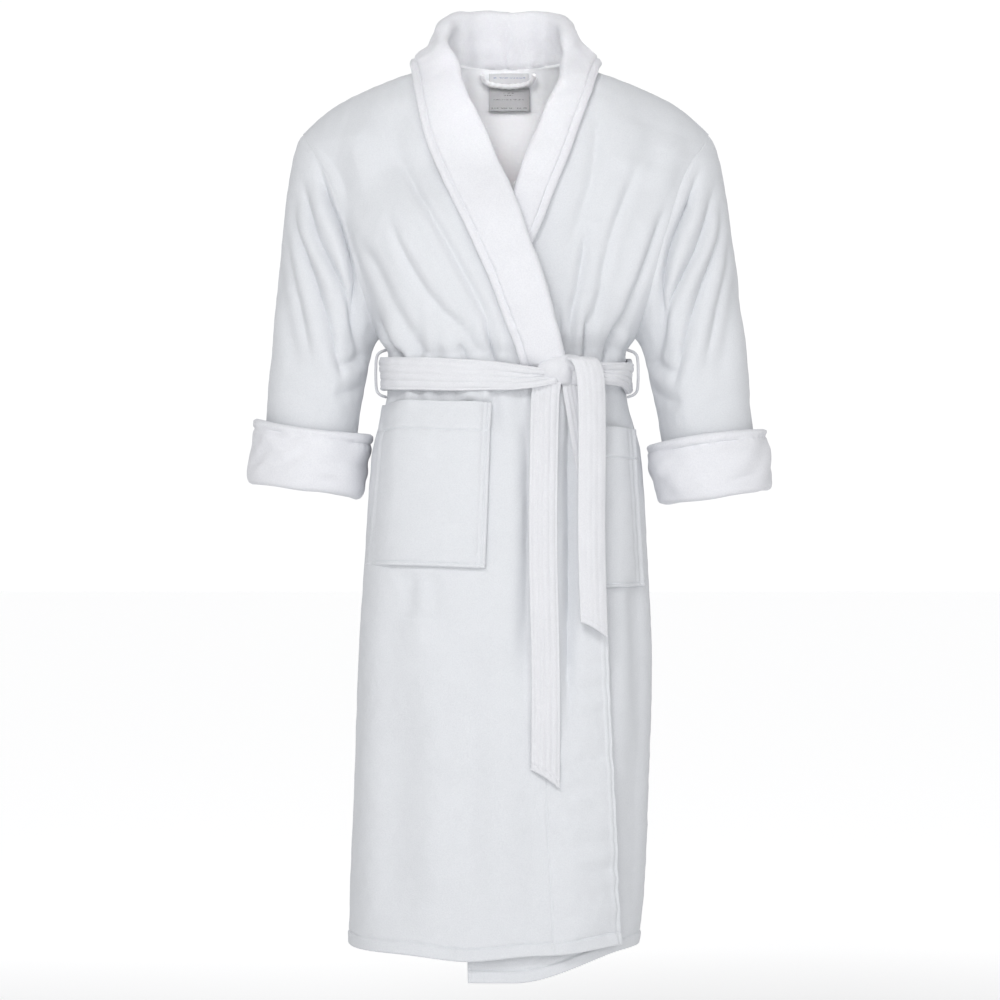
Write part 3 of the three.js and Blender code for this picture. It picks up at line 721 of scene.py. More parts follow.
# On the chest a row is fold and outer edge, in x, z.
RIGHT_LAPEL = [
    ((-66, -20), (-127, -28)), ((-56, -57), (-120, -66)), ((-36, -97), (-106, -125)),
    ((-13, -150), (-80, -187)), ((10, -203), (-55, -238)), ((34, -267), (-25, -300)),
    ((56, -330), (-2, -358)), ((74, -392), (14, -392)), ((80, -426), (19, -426)),
]
LEFT_LAPEL = [
    ((77, -20), (124, -26)), ((71, -48), (114, -56)), ((51, -88), (99, -98)),
    ((32, -134), (80, -150)), ((18, -170), (62, -192)), ((8, -205), (46, -232)),
    ((-5, -262), (22, -285)),
]
COLLAR_CLOTH = 6.0


def bezier(points, t):
    a, b, c, d = points
    t = t[:, None]
    return (1 - t) ** 3 * a + 3 * (1 - t) ** 2 * t * b + 3 * (1 - t) * t**2 * c + t**3 * d


def collar_profile(seam, fold, edge, radius, puff):
    """Section of the collar: up its stand, over the roll, and down its fall to the outer edge."""
    tip = unit(fold - (seam + edge) / 2)
    out = unit((edge - seam) - np.dot(edge - seam, tip) * tip)
    centre = fold - tip * radius
    a, b = centre - out * radius, centre + out * radius
    turn = np.linspace(0, np.pi, 17)[:, None]
    roll = centre - out * radius * np.cos(turn) + tip * radius * np.sin(turn)
    rise, drop = np.linalg.norm(a - seam), np.linalg.norm(edge - b)
    q = np.linspace(0, 1, 12, endpoint=False)
    stand = bezier((seam, mix(seam, a, 0.3), a - tip * rise * 0.35, a), q)
    near_edge = np.array([0, 0.5, 1.3, 2.4, 4.0, 6.0, 8.0, 9.2, 10.1, 11.0, 11.9, 12.8, 14.0, 16.5])
    q = np.concatenate([np.linspace(0, 1 - 19.5 / drop, 17)[1:], 1 - near_edge[::-1] / drop])
    near, far = b - tip * drop * 0.35 + out * puff * 0.6, mix(edge, b, 0.35) + out * puff * 1.6
    fall = bezier((b, near, far, edge), q)
    return np.vstack([stand, roll, fall])


def collar_half(side, lapel, offset, relief, rows=170):
    keys, radii, puffs = [], [], []
    for row, radius, puff in zip(COLLAR_NECK, NECK_RADII, NECK_PUFFS):
        keys.append([np.array(point) * (side, 1, 1) for point in row])
        radii.append(radius)
        puffs.append(puff)
    for (fx, fz), (ex, ez) in lapel:
        f, e = np.array((fx, fz), float), np.array((ex, ez), float)
        press = 1 - 0.72 * (1 - smooth(-426, -396, fz))      # the belt holds the lapel's end flat
        under = f + unit(e - f) * 20
        points = []
        for (x, z), stand in ((under, 4.5), (f, 11.0), (e, 7.5)):
            x, z = np.array(x), np.array(z)
            lift = offset(theta_at(x, z), z) + stand * press + 0.6 * relief(x, z) * (x * side > -200)
            points.append(body_point(theta_for(x, z, lift), z, lift))
        keys.append(points)
        radii.append(5.5 * press)
        puffs.append(5.0 * press)
    pace = []
    for i in range(3):
        line = np.array([k[i] for k in keys])
        pace.append(np.concatenate([[0], np.cumsum(np.linalg.norm(np.diff(line, axis=0), axis=1))]))
    along = np.linspace(0, 1, rows)
    knots = pace[1] / pace[1][-1]
    run = []
    for i in range(3):
        dense = path_points([k[i] for k in keys], rows)
        place = np.interp(along, knots, pace[i] / pace[i][-1])
        run.append(np.stack([np.interp(place, along, dense[:, k]) for k in range(3)], axis=1))
    radius = curve_values(knots, radii, along)
    puff = curve_values(knots, puffs, along)
    return np.array([collar_profile(*row) for row in zip(*run, radius, puff)])


def build_collar():
    for name, node, side, lapel, offset, relief, length, area in (
            ("collar_right", "shawl_collar_right", -1, RIGHT_LAPEL, over_offset, over_relief, 0.56, 0.082),
            ("collar_left", "shawl_collar_left", 1, LEFT_LAPEL, under_offset, under_relief, 0.40, 0.055)):
        grid = collar_half(side, lapel, offset, relief)
        rows, columns = grid.shape[:2]
        step = np.linalg.norm(np.diff(grid, axis=1), axis=2)
        from_edge = np.cumsum(step[:, ::-1], axis=1)[:, ::-1]
        from_edge = np.concatenate([from_edge, np.zeros((rows, 1))], axis=1)
        x, y, z = np.moveaxis(grid, -1, 0)
        neck = smooth(-60, 10, z) * smooth(-150, -60, y)
        lumps = (ripples(x + y, z, 64, 21 + side) * (0.7 + 0.9 * neck)
                 + ripples(x - y, z, 33, 23 + side) * (0.3 + 0.35 * neck))
        fall = np.arange(columns) > 24           # the columns past the roll
        pucker = 0.7 * ripples(x + y, z, 15, 25) * np.exp(-((from_edge - 11) / 8) ** 2)
        end = smooth(0, 10, np.abs(x) + 30 * (z < -30))
        seam = groove(from_edge - 11, 2.2, 1.7) + 1.0 * (1 - smooth(8, 11, from_edge)) + pucker
        thickness = COLLAR_CLOTH + 1.5 * np.exp(-((from_edge - 3) / 7) ** 2) * fall
        pair = skins(grid, thickness, (lumps + seam * fall) * end, flip=side > 0, sewn="b")
        sheet_piece(name, pair, "robe", node, "collar_terry")


# ------------------------------------------------------------------ sleeves and cuffs
CUFF_TILT = math.radians(8)
CUFF_HEIGHT = 86
# Side, and the middle of the cuff as x, y, z.
SLEEVES = {"right": (-1, -267, -105, -542), "left": (1, 278, -105, -552)}
SLEEVE_LENGTH = 430
ARMHOLE_MIDDLE, ARMHOLE_HALF = -241.5, 136.5   # height of the armhole's middle, and half its height
SLEEVE_OUT = np.array([0.936, 0, -0.351])      # square to the armhole seam, on the wearer's left
SLEEVE_FOLDS = [
    (6, -14, [(-258, -130), (-240, -192), (-216, -250), (-203, -320), (-197, -400)]),
    (6, -9, [(-280, -145), (-268, -195), (-252, -250), (-217, -318), (-204, -375), (-198, -430)]),
    (10, 7, [(-262, -165), (-246, -215), (-222, -275), (-208, -335)]),
    (10, 8, [(-276, -190), (-268, -235), (-240, -302), (-224, -352)]),
    (6, -8, [(-286, -175), (-280, -235), (-258, -300), (-236, -370), (-214, -470)]),
    (12, 5, [(-290, -200), (-284, -262), (-268, -328), (-248, -400), (-230, -470)]),
    (7, -6, [(-296, -220), (-290, -275), (-276, -341), (-258, -420)]),
    (10, -4, [(-306, -255), (-303, -315), (-292, -367), (-276, -440)]),
    (18, 3, [(-316, -300), (-310, -380), (-300, -470)]),
    (7, -5, [(-188, -396), (-206, -412), (-232, -424)]),
    (8, 3, [(-188, -412), (-206, -428), (-230, -440)]),
    (7, -4, [(-190, -436), (-208, -452), (-234, -462)]),
    (20, -3, [(-300, -440), (-270, -470), (-236, -484)]),
]


def section_point(sleeve, angle, radius, drop):
    side, x, y, z = sleeve
    out = radius * np.cos(angle)
    return np.stack([
        x + side * (out * math.cos(CUFF_TILT) + drop * math.sin(CUFF_TILT)),
        y - radius * 0.94 * np.sin(angle),
        z + out * math.sin(CUFF_TILT) - drop * math.cos(CUFF_TILT)], axis=-1)


def sleeve_middle(sleeve, angle, s):
    side = sleeve[0]
    out = SLEEVE_OUT * np.array([side, 1, 1])
    z = ARMHOLE_MIDDLE + ARMHOLE_HALF * np.cos(angle)
    reach = side_theta(side, z)
    top = base_point(np.where(np.sin(angle) >= 0, reach, 180 - reach), z) - out * 1.3
    end = section_point(sleeve, angle, 60, CUFF_HEIGHT / 2 - 8)
    length = np.linalg.norm(end - top, axis=-1, keepdims=True)
    leave = out * length * mix(0.38, 0.2, (1 + np.cos(angle)) / 2)[..., None]
    arrive = np.array([side * math.sin(CUFF_TILT), 0, -math.cos(CUFF_TILT)]) * length * 0.9
    s = s[..., None]
    s2, s3 = s * s, s**3
    return (top * (2 * s3 - 3 * s2 + 1) + leave * (s3 - 2 * s2 + s)
            + end * (3 * s2 - 2 * s3) + arrive * (s3 - s2))


def build_sleeves():
    for name, sleeve in SLEEVES.items():
        side = sleeve[0]
        around = np.linspace(0, 2 * np.pi, 168, endpoint=False)
        s, angle = np.meshgrid(lines(SLEEVE_LENGTH, 4.4), around, indexing="ij")
        mid = sleeve_middle(sleeve, angle, s)
        normal = grid_normals(mid, True) * side
        # Fold lines are written for the right sleeve; the left one is close to its mirror.
        x = -np.abs(mid[..., 0]) + (6 if side > 0 else 0)
        z = mid[..., 2] + (9 if side > 0 else 0)
        front = smooth(-0.05, 0.3, np.sin(angle))
        folds = strokes(x, z, SLEEVE_FOLDS)
        behind = strokes(x + 8, z - 18, SLEEVE_FOLDS)
        relief = folds * front + 0.8 * behind * smooth(-0.05, 0.3, -np.sin(angle))
        relief += 0.9 * ripples(x, z, 90, 31 + side)
        relief *= smooth(0, 0.05, s) * (1 - smooth(0.8, 0.9, s))
        mid = mid + normal * relief[..., None]
        fine = 0.25 * ripples(x + mid[..., 1], z, 24, 33) + groove((s - 0.016) * SLEEVE_LENGTH, 0.7, 1.8)
        pair = skins(mid, CLOTH, fine, ring=True, flip=side < 0, sewn="b")
        piece = sheet_piece(name + "_sleeve_cloth", pair, None, name + "_sleeve", "robe_terry",
                            ring=True)
        arm = name + "_arm"
        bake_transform(piece)
        build_cuff(name, sleeve, arm)


CUFF_SECTION = [               # radius and drop: the inner wall, round the turned edge, the outer wall
    (68.5, -37), (67.5, -20), (66.0, 10), (66.0, 30), (67.5, 39), (71.5, 42.5), (75.5, 39.5),
    (77.5, 30), (78.8, 10), (78.8, -12), (78.3, -28), (77.6, -40),
]


def build_cuff(name, sleeve, arm):
    side = sleeve[0]
    section = path_points(CUFF_SECTION, 64)
    angle = np.linspace(0, 2 * np.pi, 150, endpoint=False)
    radius = np.repeat(section[:, :1], 150, axis=1)
    drop = np.repeat(section[:, 1:], 150, axis=1)
    turn = np.repeat(angle[None], 64, axis=0)
    mid = section_point(sleeve, turn, radius, drop)
    outer = smooth(70, 75, radius)
    wave = ripples(mid[..., 0] + 0.6 * mid[..., 1], mid[..., 2] - 0.5 * mid[..., 1], 70, 41 + side)
    lump = ripples(mid[..., 0] - 0.7 * mid[..., 1], mid[..., 2], 34, 43 + side)
    radius = radius + outer * (2.2 * wave + 1.3 * lump) * smooth(45, 20, np.abs(drop))
    top_wave = 2.2 * np.sin(turn * 2 + 1.3 * side) * (drop < 0) * smooth(0, 30, -drop)
    drop = drop + top_wave + 1.2 * wave * (drop > 20)
    mid = section_point(sleeve, turn, radius, drop)
    mid = mid[::-1]
    radius, drop = radius[::-1], drop[::-1]
    outer = smooth(70, 75, radius)
    stitch = groove(drop + 28, 1.7, 1.8) * outer
    rolled = 1.6 * smooth(-29, -33, drop) * outer
    along_stitch = np.exp(-((drop + 28) / 8) ** 2) * outer
    pucker = 0.6 * ripples(mid[..., 0] + mid[..., 1], mid[..., 2], 14, 45) * along_stitch
    pair = skins(mid, 5.5, stitch + rolled + pucker, ring=True, flip=side < 0, rim=3.0)
    sheet_piece(name + "_cuff_cloth", pair, arm, name + "_cuff", "collar_terry",
                ring=True)


# ------------------------------------------------------------------ pockets
def front_at(x, z, out, offset):
    """Point standing off a front by out, at a given x and z."""
    x, z = np.broadcast_arrays(np.asarray(x, float), np.asarray(z, float))
    lift = offset(theta_at(x, z), z) + out
    theta = theta_for(x, z, lift)
    return body_point(theta, z, lift)


def build_pocket(name, node, top, bottom, top_z, bottom_z, offset, relief, seed):
    width, height = abs(top[1] - top[0]), top_z - bottom_z
    u = lines(width, 3.6, (5.5, width - 5.5, 11.0, width - 11.0))
    v = lines(height, 3.6, (5.5, height - 40))
    uu, vv = np.meshgrid(u, v)
    z = mix(bottom_z, top_z, vv)
    x = mix(mix(bottom[0], top[0], vv), mix(bottom[1], top[1], vv), uu)
    z = z + 2.0 * np.sin(uu * 3.1 + seed) * (1 - vv) + 1.5 * np.sin(uu * 5 + seed) * vv
    side_gap = np.minimum(uu, 1 - uu) * width
    low_gap = vv * height
    sewn = smooth(0, 26, side_gap) * smooth(0, 30, low_gap)
    mouth = smooth(0.6, 1.0, vv)
    out = CLOTH / 2 + 2.6 + 1.5 + sewn * (4.0 + 3.0 * mouth) + 0.8 * ripples(x, z, 60, seed) * sewn
    follow = relief(x, z)
    mid = front_at(x, z, out + follow * mix(0.9, 0.4, sewn), offset)
    fine = 0.3 * ripples(x, z, 22, seed + 1)
    welt = 1.0 * (1 - smooth(4, 6, side_gap)) + 1.0 * (1 - smooth(4, 6, low_gap))
    top_gap = (1 - vv) * height
    band = 0.9 * (1 - smooth(38, 40, top_gap))
    stitched = (groove(side_gap - 5.5, 1.1, 1.3) + groove(side_gap - 11, 0.9, 1.2) * (uu > 0.5)
                + groove(low_gap - 5.5, 1.1, 1.3) + groove(top_gap - 40, 1.2, 1.4))
    pucker = 0.45 * ripples(x, z, 13, seed + 2) * np.exp(-((top_gap - 40) / 8) ** 2)
    pair = skins(mid, CLOTH * 0.9, fine + welt + band + stitched + pucker, rim=2.6)
    sheet_piece(name, pair, "robe", node, "robe_terry")


def build_pockets():
    build_pocket("right_pocket", "right_patch_pocket", (-165, -19), (-185, -27), -475, -690,
                 over_offset, over_relief, 51)
    build_pocket("left_pocket", "left_patch_pocket", (36, 173), (38, 186), -505, -718,
                 under_offset, under_relief, 55)


# ------------------------------------------------------------------ belt
def waist_lift(theta):
    turned = (theta + 540) % 360 - 180
    on_front = smooth(-92, -50, turned) * (1 - smooth(50, 84, turned))
    return CLOTH / 2 + 1.8 + (OVER_LIFT + 1) * on_front


BELT_ROWS = (0.09, 0.3, 0.5, 0.7, 0.91)        # the belt's stitched rows, across its width


def channels(across, width, depth):
    """Padded channels between the stitched rows of the belt."""
    total = np.zeros(np.shape(across))
    for row in BELT_ROWS:
        total += groove((across - row) * width, depth, 1.5)
    return total


def belt_lines(width):
    return lines(width, 2.2, tuple(row * width for row in BELT_ROWS))


def build_belt():
    # Theta runs from behind the knot, round the back, to the knot again.
    arcs = ((34, 90, 60), (90, 270, 130), (270, 383, 110))
    theta = np.concatenate([[34], *(np.linspace(*arc)[1:] for arc in arcs)])
    v = belt_lines(46.0)
    keys = [34, 50, 64, 78, 92, 180, 268, 285, 315, 345, 360, 370, 383]
    tops = [-420, -417, -417, -415, -406, -406, -406, -405, -407, -413, -419, -423, -427]
    lows = [-438, -446, -452, -457, -453, -451, -452, -453, -456, -458, -458, -454, -444]
    top, low = curve_values(keys, tops, theta), curve_values(keys, lows, theta)
    tt, vv = np.meshgrid(theta, v)
    z = mix(low, top, vv)
    z = z + 0.8 * ripples(tt * 2.6, vv * 20, 70, 61)
    near_knot = smooth(350, 380, tt) + smooth(60, 40, tt)
    fold = 3.2 * near_knot * np.sin(vv * np.pi * 2.2 + 0.6) + 1.2 * ripples(tt * 2.6, vv * 46, 60, 62)
    twist = 5 * smooth(90, 66, tt) * (vv - 0.5)
    over_lapel = 5.0 * np.exp(-(((tt - 368) / 11) ** 2))
    out = waist_lift(tt) + 4.2 + fold + 2.0 * twist + 1.5 * near_knot + over_lapel
    mid = body_point(tt, z, out)
    thickness = 7.0 + 0.8 * np.sin(np.pi * vv)
    relief = channels(vv, 46, 1.15) + 0.3 * ripples(tt * 2.6, vv * 46, 14, 63)
    sheet_piece("belt_band", skins(mid, thickness, relief, rim=3.4), "robe", "belt_waistband",
                "belt_terry")


def build_tail(body, path, width, skew, tip, seed, curl, channel):
    """A belt tail: leaves the knot, hangs on the skirt and ends in a slanted point."""
    total = np.sum(np.linalg.norm(np.diff(path_points(path, 200), axis=0), axis=1))
    t = np.sort(1 - lines(total, 3.4, (9.0,)))
    line = path_points(path, 400)
    at = np.stack([np.interp(t, np.linspace(0, 1, 400), line[:, k]) for k in range(3)], axis=1)
    v = belt_lines(width)
    tt, vv = np.meshgrid(t, v, indexing="ij")
    gap = (1 - tt) * total
    across = (vv - 0.5) * width
    x = at[:, :1] + across + 1.2 * np.sin(tt * 7 + seed)
    slant = skew * (vv - 0.5) - tip * (np.abs(vv - 0.42) * 2) ** 1.5 * -0.25
    z = at[:, 1:2] - slant * smooth(60, 0, gap)
    out = at[:, 2:3] + curl * np.sin(np.pi * vv) * smooth(0.0, 0.12, tt) + 1.0 * ripples(x, z, 90, seed)
    mid = front_at(x, z, out, over_offset)
    thickness = 5.6 + 0.6 * np.sin(np.pi * vv)
    end = groove(gap - 9, 1.2, 1.4)
    fine = 0.3 * ripples(x, z, 15, seed + 1)
    pair = skins(mid, thickness, channels(vv, width, channel) + end + fine, flip=True, rim=3.0)
    piece = sheet_piece(body + "_cloth", pair, None, "belt_" + body, "belt_terry")
    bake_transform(piece)


def build_tails():
    build_tail("long_tail",
               [(58, -428, 11), (54, -442, 12), (51, -470, 11), (50, -560, 9), (50, -680, 8.5),
                (51, -800, 8), (51, -900, 8), (51, -966, 8)],
               38.0, 24, 8, 71, 2.0, 1.1)
    build_tail("short_tail",
               [(96, -430, 15), (96, -418, 18), (98, -412, 25), (104, -417, 32), (109, -432, 34),
                (111, -460, 33), (112, -540, 26), (113, -640, 21), (115, -770, 18)],
               36.0, 20, 8, 75, 2.5, 0.55)


def build_knot():
    """The belt's near end drawn up beside the tail that comes over it, and the strip under the knot."""
    u, v = lines(86, 2.6), lines(38, 2.4)
    uu, vv = np.meshgrid(u, v)
    x = mix(44, 130, uu)
    top = curve_values([0, 0.25, 0.45, 0.7, 1], [-423, -413, -408, -414, -424], uu)
    low = curve_values([0, 0.18, 0.35, 0.7, 1], [-426, -439, -444, -446, -443], uu)
    z = mix(low, top, vv)
    ridge = np.sin(np.pi * np.clip(uu * 1.5, 0, 1)) ** 0.5 * np.sin(np.pi * vv) ** 0.4
    ridge = ridge + 0.45 * (vv - 0.5) * np.sin(np.pi * np.clip(uu * 1.6, 0, 1))
    crease = -4.0 * np.exp(-(((x - 86) / 5) ** 2))
    out = 8.5 + 9 * ridge + crease + 0.8 * ripples(x, z, 20, 81)
    mid = front_at(x, z, out, over_offset)
    pair = skins(mid, 9.0, 0.3 * ripples(x, z, 9, 82), rim=4.5)
    sheet_piece("knot_wrap", pair, "robe", "belt_knot", "belt_terry")
    # The turned-back length of belt that shows between the two tails.
    path = [(86, -438, 6), (90, -470, 7), (98, -520, 8), (108, -570, 8)]
    line = path_points(path, 44)
    v = belt_lines(26.0)
    vv = np.repeat(v[None], len(line), axis=0)
    x = line[:, :1] + (vv - 0.5) * 26
    z = line[:, 1:2] + (vv - 0.5) * 8
    mid = front_at(x, z, line[:, 2:3] + 0 * x, over_offset)
    pair = skins(mid, 5.0, channels(vv, 26, 0.8), flip=True, rim=2.5)
    sheet_piece("knot_under_strip", pair, "robe", None, "belt_terry")


def tube(name, points, radius, material, sides, twist):
    """Round or braided cord along a line of points, with closed ends."""
    points = np.asarray(points, float)
    count = len(points)
    run = unit(np.gradient(points, axis=0))
    up = np.array([0.0, 0, 1])
    side = unit(np.cross(run, up))
    other = np.cross(run, side)
    turn = np.linspace(0, 2 * np.pi, sides, endpoint=False)
    rings = []
    for k in range(count):
        taper = math.sqrt(max(0.05, 1 - (1 - min(1, min(k, count - 1 - k) / 3)) ** 2))
        bumps = 1 + 0.12 * np.cos(3 * turn + twist * k)
        rings.append(points[k] + radius * taper * (bumps * np.cos(turn))[:, None] * side[k]
                     + radius * taper * (bumps * np.sin(turn))[:, None] * other[k])
    verts = np.vstack([*rings, points[:1], points[-1:]])
    faces = []
    for k in range(count - 1):
        for s in range(sides):
            n = (s + 1) % sides
            a, b = k * sides, (k + 1) * sides
            faces.append((a + s, b + s, b + n, a + n))
    first, last = count * sides, count * sides + 1
    for s in range(sides):
        n = (s + 1) % sides
        faces.append((first, s, n))
        faces.append((last, (count - 1) * sides + n, (count - 1) * sides + s))
    return make_object(name, verts, faces, material)


LOOP_WIDTH = 8.5


def build_belt_loops():
    for name, side in (("right", -1), ("left", 1)):
        low, high = (np.array(c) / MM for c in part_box(name + "_belt_loop"))
        top, bottom = high[2] - 1.5, low[2] + 1.5
        inner = min(abs(low[0]), abs(high[0])) + 1.0
        outer = max(abs(low[0]), abs(high[0])) - 4.0
        middle_y = (low[1] + high[1]) / 2
        path = [(inner, top), (outer - 4, top - 5), (outer, top - 16), (outer, bottom + 16),
                (outer - 4, bottom + 5), (inner, bottom)]
        line = path_points(path, 60)
        v = lines(LOOP_WIDTH, 1.2)
        x = side * np.repeat(line[:, :1], len(v), axis=1)
        z = np.repeat(line[:, 1:], len(v), axis=1)
        y = middle_y + (v - 0.5)[None] * LOOP_WIDTH + 0 * x
        mid = np.stack([x, y, z], axis=-1)
        pair = skins(mid, 3.8, 0.0, flip=side > 0, rim=1.6)
        piece = cloth(name + "_side_loop", pair, MATERIAL["belt_terry"])
        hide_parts(name + "_belt_loop")
        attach(piece, "robe")


# ------------------------------------------------------------------ inside the neck
def inside_back(x, z, clear):
    x, z = np.broadcast_arrays(np.asarray(x, float), np.asarray(z, float))
    return body_point(180 - theta_at(x, z), z, np.full(x.shape, -CLOTH / 2 - clear))


def build_neck_pieces():
    path = path_points([(-41, -5), (-39, -13), (-27, -21), (4, -25), (36, -21), (48, -13), (50, -5)], 120)
    line = inside_back(path[:, 0], path[:, 1], 12.5)
    loop = tube("neck_loop_cord", line, 3.7, MATERIAL["loop_tape"], sides=18, twist=0.55)
    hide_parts("hanging_loop")
    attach(loop, "neck_loop")
    for name, node, slot, body, x_span, z_span, clear, flat in (
            ("brand_tag", "brand_label", "pale_label", "robe",
             (-26, 36), (-25, -6), 7.0, (0.063, 0.019)),
            ("care_tag", "care_label", "grey_label", "label_flap",
             (-25, 36), (-59, -27), 5.4, (0.062, 0.032))):
        u = lines(x_span[1] - x_span[0], 2.0)
        v = lines(z_span[1] - z_span[0], 2.0)
        uu, vv = np.meshgrid(u, v)
        x, z = mix(*x_span, uu), mix(*z_span, vv)
        clear_at = clear + 0.5 * np.sin(uu * 4 + 1) + 0.6 * (1 - vv)
        mid = inside_back(x, z, clear_at)
        sheet_piece(name, skins(mid, 1.1, 0.0), body, node, slot)


# ------------------------------------------------------------------ materials
def new_material(name):
    material = bpy.data.materials.new(name)
    material.use_nodes = True
    tree = material.node_tree
    return material, tree, tree.nodes["Principled BSDF"]


def coordinates(tree, kind):
    return tree.nodes.new("ShaderNodeTexCoord").outputs[kind]


def axes(tree, vector):
    node = tree.nodes.new("ShaderNodeSeparateXYZ")
    tree.links.new(vector, node.inputs["Vector"])
    return node.outputs


def map_range(tree, value, source, target=(0.0, 1.0)):
    node = tree.nodes.new("ShaderNodeMapRange")
    for socket, number in zip(("From Min", "From Max", "To Min", "To Max"), (*source, *target)):
        node.inputs[socket].default_value = number
    tree.links.new(value, node.inputs["Value"])
    return node.outputs["Result"]


def within(tree, value, centre, reach):
    """1 where a coordinate lies within reach of centre, both in mm."""
    node = tree.nodes.new("ShaderNodeMath")
    node.operation = "COMPARE"
    tree.links.new(value, node.inputs[0])
    node.inputs[1].default_value = centre * MM
    node.inputs[2].default_value = reach * MM
    return node.outputs["Value"]


def product(tree, first, second):
    node = tree.nodes.new("ShaderNodeMath")
    node.operation = "MULTIPLY"
    tree.links.new(first, node.inputs[0])
    tree.links.new(second, node.inputs[1])
    return node.outputs["Value"]


def layered(tree, share, below, color):
    """A flat colour laid over another paint, where share is 1."""
    node = tree.nodes.new("ShaderNodeMixRGB")
    tree.links.new(share, node.inputs["Fac"])
    tree.links.new(below, node.inputs["Color1"])
    node.inputs["Color2"].default_value = (*color, 1)
    return node.outputs["Color"]


def noise(tree, source, scale, detail=2.0, rough=0.5):
    node = tree.nodes.new("ShaderNodeTexNoise")
    node.inputs["Scale"].default_value = scale
    node.inputs["Detail"].default_value = detail
    node.inputs["Roughness"].default_value = rough
    tree.links.new(source, node.inputs["Vector"])
    return node.outputs["Fac"]


def ramp(tree, source, low, high, color_low, color_high):
    node = tree.nodes.new("ShaderNodeValToRGB")
    node.color_ramp.elements[0].position = low
    node.color_ramp.elements[1].position = high
    node.color_ramp.elements[0].color = (*color_low, 1)
    node.color_ramp.elements[1].color = (*color_high, 1)
    tree.links.new(source, node.inputs["Fac"])
    return node.outputs["Color"]


def bump(tree, source, strength, distance, below=None):
    node = tree.nodes.new("ShaderNodeBump")
    node.inputs["Strength"].default_value = strength
    node.inputs["Distance"].default_value = distance
    tree.links.new(source, node.inputs["Height"])
    if below is not None:
        tree.links.new(below, node.inputs["Normal"])
    return node.outputs["Normal"]


def terry(name, color, pile, depth, inside_painted_light=None):
    """Sheared terry: a short dense pile that lies in soft patches.

    The inside colour, if given, is painted light: a lighter colour on the faces that are turned to the
    front, the back panel's inside seen through the neck."""
    material, tree, shader = new_material(name)
    place = coordinates(tree, "Object")
    patches = noise(tree, place, 34, 4, 0.6)
    tufts = noise(tree, place, pile, 3, 0.65)
    fine = noise(tree, place, pile * 2.6, 2, 0.6)
    shaded = tree.nodes.new("ShaderNodeMixRGB")
    shaded.blend_type = "MULTIPLY"
    shaded.inputs["Fac"].default_value = 1.0
    patch_color = ramp(tree, patches, 0.32, 0.68, tuple(c * 0.98 for c in color), color)
    tuft_color = ramp(tree, tufts, 0.3, 0.62, (0.93, 0.93, 0.94), (1, 1, 1))
    tree.links.new(patch_color, shaded.inputs["Color1"])
    tree.links.new(tuft_color, shaded.inputs["Color2"])
    paint = shaded.outputs["Color"]
    # Painted light: the faces turned to the front, the back panel's inside seen through the neck, are
    # painted lighter than the outside.
    if inside_painted_light:
        normal = tree.nodes.new("ShaderNodeNewGeometry").outputs["Normal"]
        to_front = map_range(tree, axes(tree, normal)["Y"], (0.0, -0.4))
        paint = layered(tree, to_front, paint, inside_painted_light)
    tree.links.new(paint, shader.inputs["Base Color"])
    shader.inputs["Roughness"].default_value = 0.95
    shader.inputs["Specular IOR Level"].default_value = 0.2
    shader.inputs["Sheen Weight"].default_value = 0.06
    shader.inputs["Sheen Roughness"].default_value = 0.5
    soft = bump(tree, patches, 0.15, 0.0012)
    nap = bump(tree, tufts, 0.55, depth, soft)
    tree.links.new(bump(tree, fine, 0.4, depth * 0.5, nap), shader.inputs["Normal"])
    return material


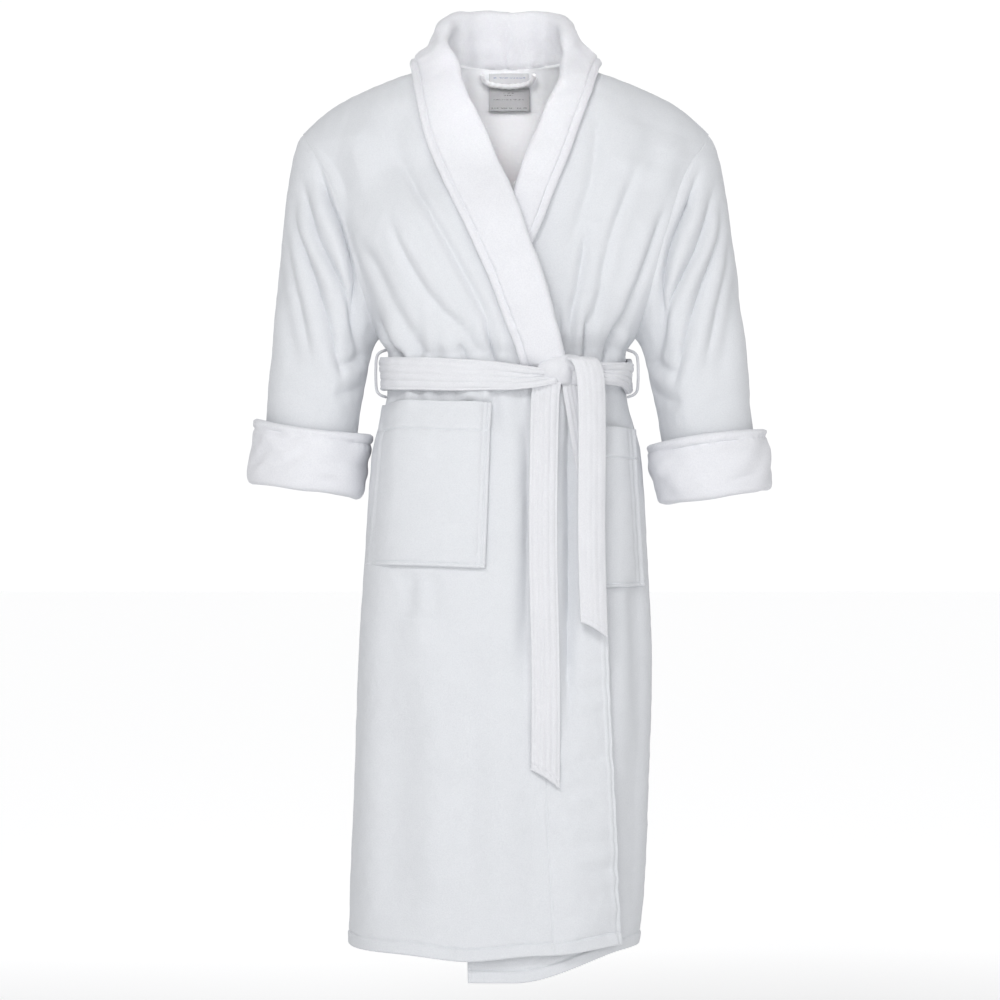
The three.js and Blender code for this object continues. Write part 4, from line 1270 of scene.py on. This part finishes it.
def woven(name, color, dark, scale, roughness, marks=(), ink=(0.1, 0.1, 0.1)):
    """Smooth woven label or tape, with fine ribs across it.

    marks are rows of broken dashes: height, middle, half length and half height, in mm."""
    material, tree, shader = new_material(name)
    place = coordinates(tree, "Object")
    rib = tree.nodes.new("ShaderNodeTexWave")
    rib.bands_direction = "Z"
    rib.inputs["Scale"].default_value = scale
    rib.inputs["Distortion"].default_value = 0.6
    tree.links.new(place, rib.inputs["Vector"])
    paint = ramp(tree, noise(tree, place, scale * 2, 2), 0.3, 0.7, dark, color)
    if marks:
        split = axes(tree, place)
        inked = map_range(tree, noise(tree, place, 620, 1), (0.46, 0.52))
    for height, middle, half, weight in marks:
        row = product(tree, within(tree, split["Z"], height, weight), within(tree, split["X"], middle, half))
        paint = layered(tree, product(tree, row, inked), paint, ink)
    tree.links.new(paint, shader.inputs["Base Color"])
    shader.inputs["Roughness"].default_value = roughness
    tree.links.new(bump(tree, rib.outputs["Fac"], 0.3, 0.0002), shader.inputs["Normal"])
    return material


def make_materials():
    # The second colour is painted light for the back panel's inside, seen through the neck.
    robe, inside_painted_light = (0.725, 0.74, 0.765), (0.96, 0.965, 0.99)
    return {
        # Painted shade: one white terry in three tones. The body's is darkest so the chest and skirt read
        # less bright, the belt's is between, and the collar's and cuffs' is lightest.
        "robe_terry": terry("robe_terry_cloth", robe, 620, 0.0007),
        "back_terry": terry("back_terry_cloth", robe, 620, 0.0007, inside_painted_light),
        "collar_terry": terry("collar_terry_cloth", (0.79, 0.795, 0.825), 520, 0.0009),
        "belt_terry": terry("belt_terry_cloth", (0.75, 0.755, 0.78), 640, 0.0006),
        # Painted light: the loop tape is painted lighter to offset the shade it hangs in inside the neck.
        "loop_tape": woven("loop_tape_weave", (0.92, 0.92, 0.94), (0.86, 0.86, 0.88), 900, 0.8),
        "pale_label": woven("pale_label_satin", (0.66, 0.665, 0.68), (0.60, 0.605, 0.62), 800, 0.45,
                            ((-14.5, 5, 22, 0.8),), (0.30, 0.36, 0.48)),
        "grey_label": woven("grey_label_satin", (0.50, 0.505, 0.515), (0.44, 0.445, 0.455), 800, 0.5,
                            ((-35, 4, 8, 0.5), (-38, 4, 8, 0.5), (-44, 4, 21, 0.5), (-55.5, 5, 26, 0.6))),
    }


make_camera()
MATERIAL = make_materials()
make_lights()
make_world()
make_floor()
build_over_front()
build_under_front()
build_back()
build_facings()
build_collar()
build_sleeves()
build_pockets()
build_belt()
build_knot()
build_tails()
build_belt_loops()
build_neck_pieces()
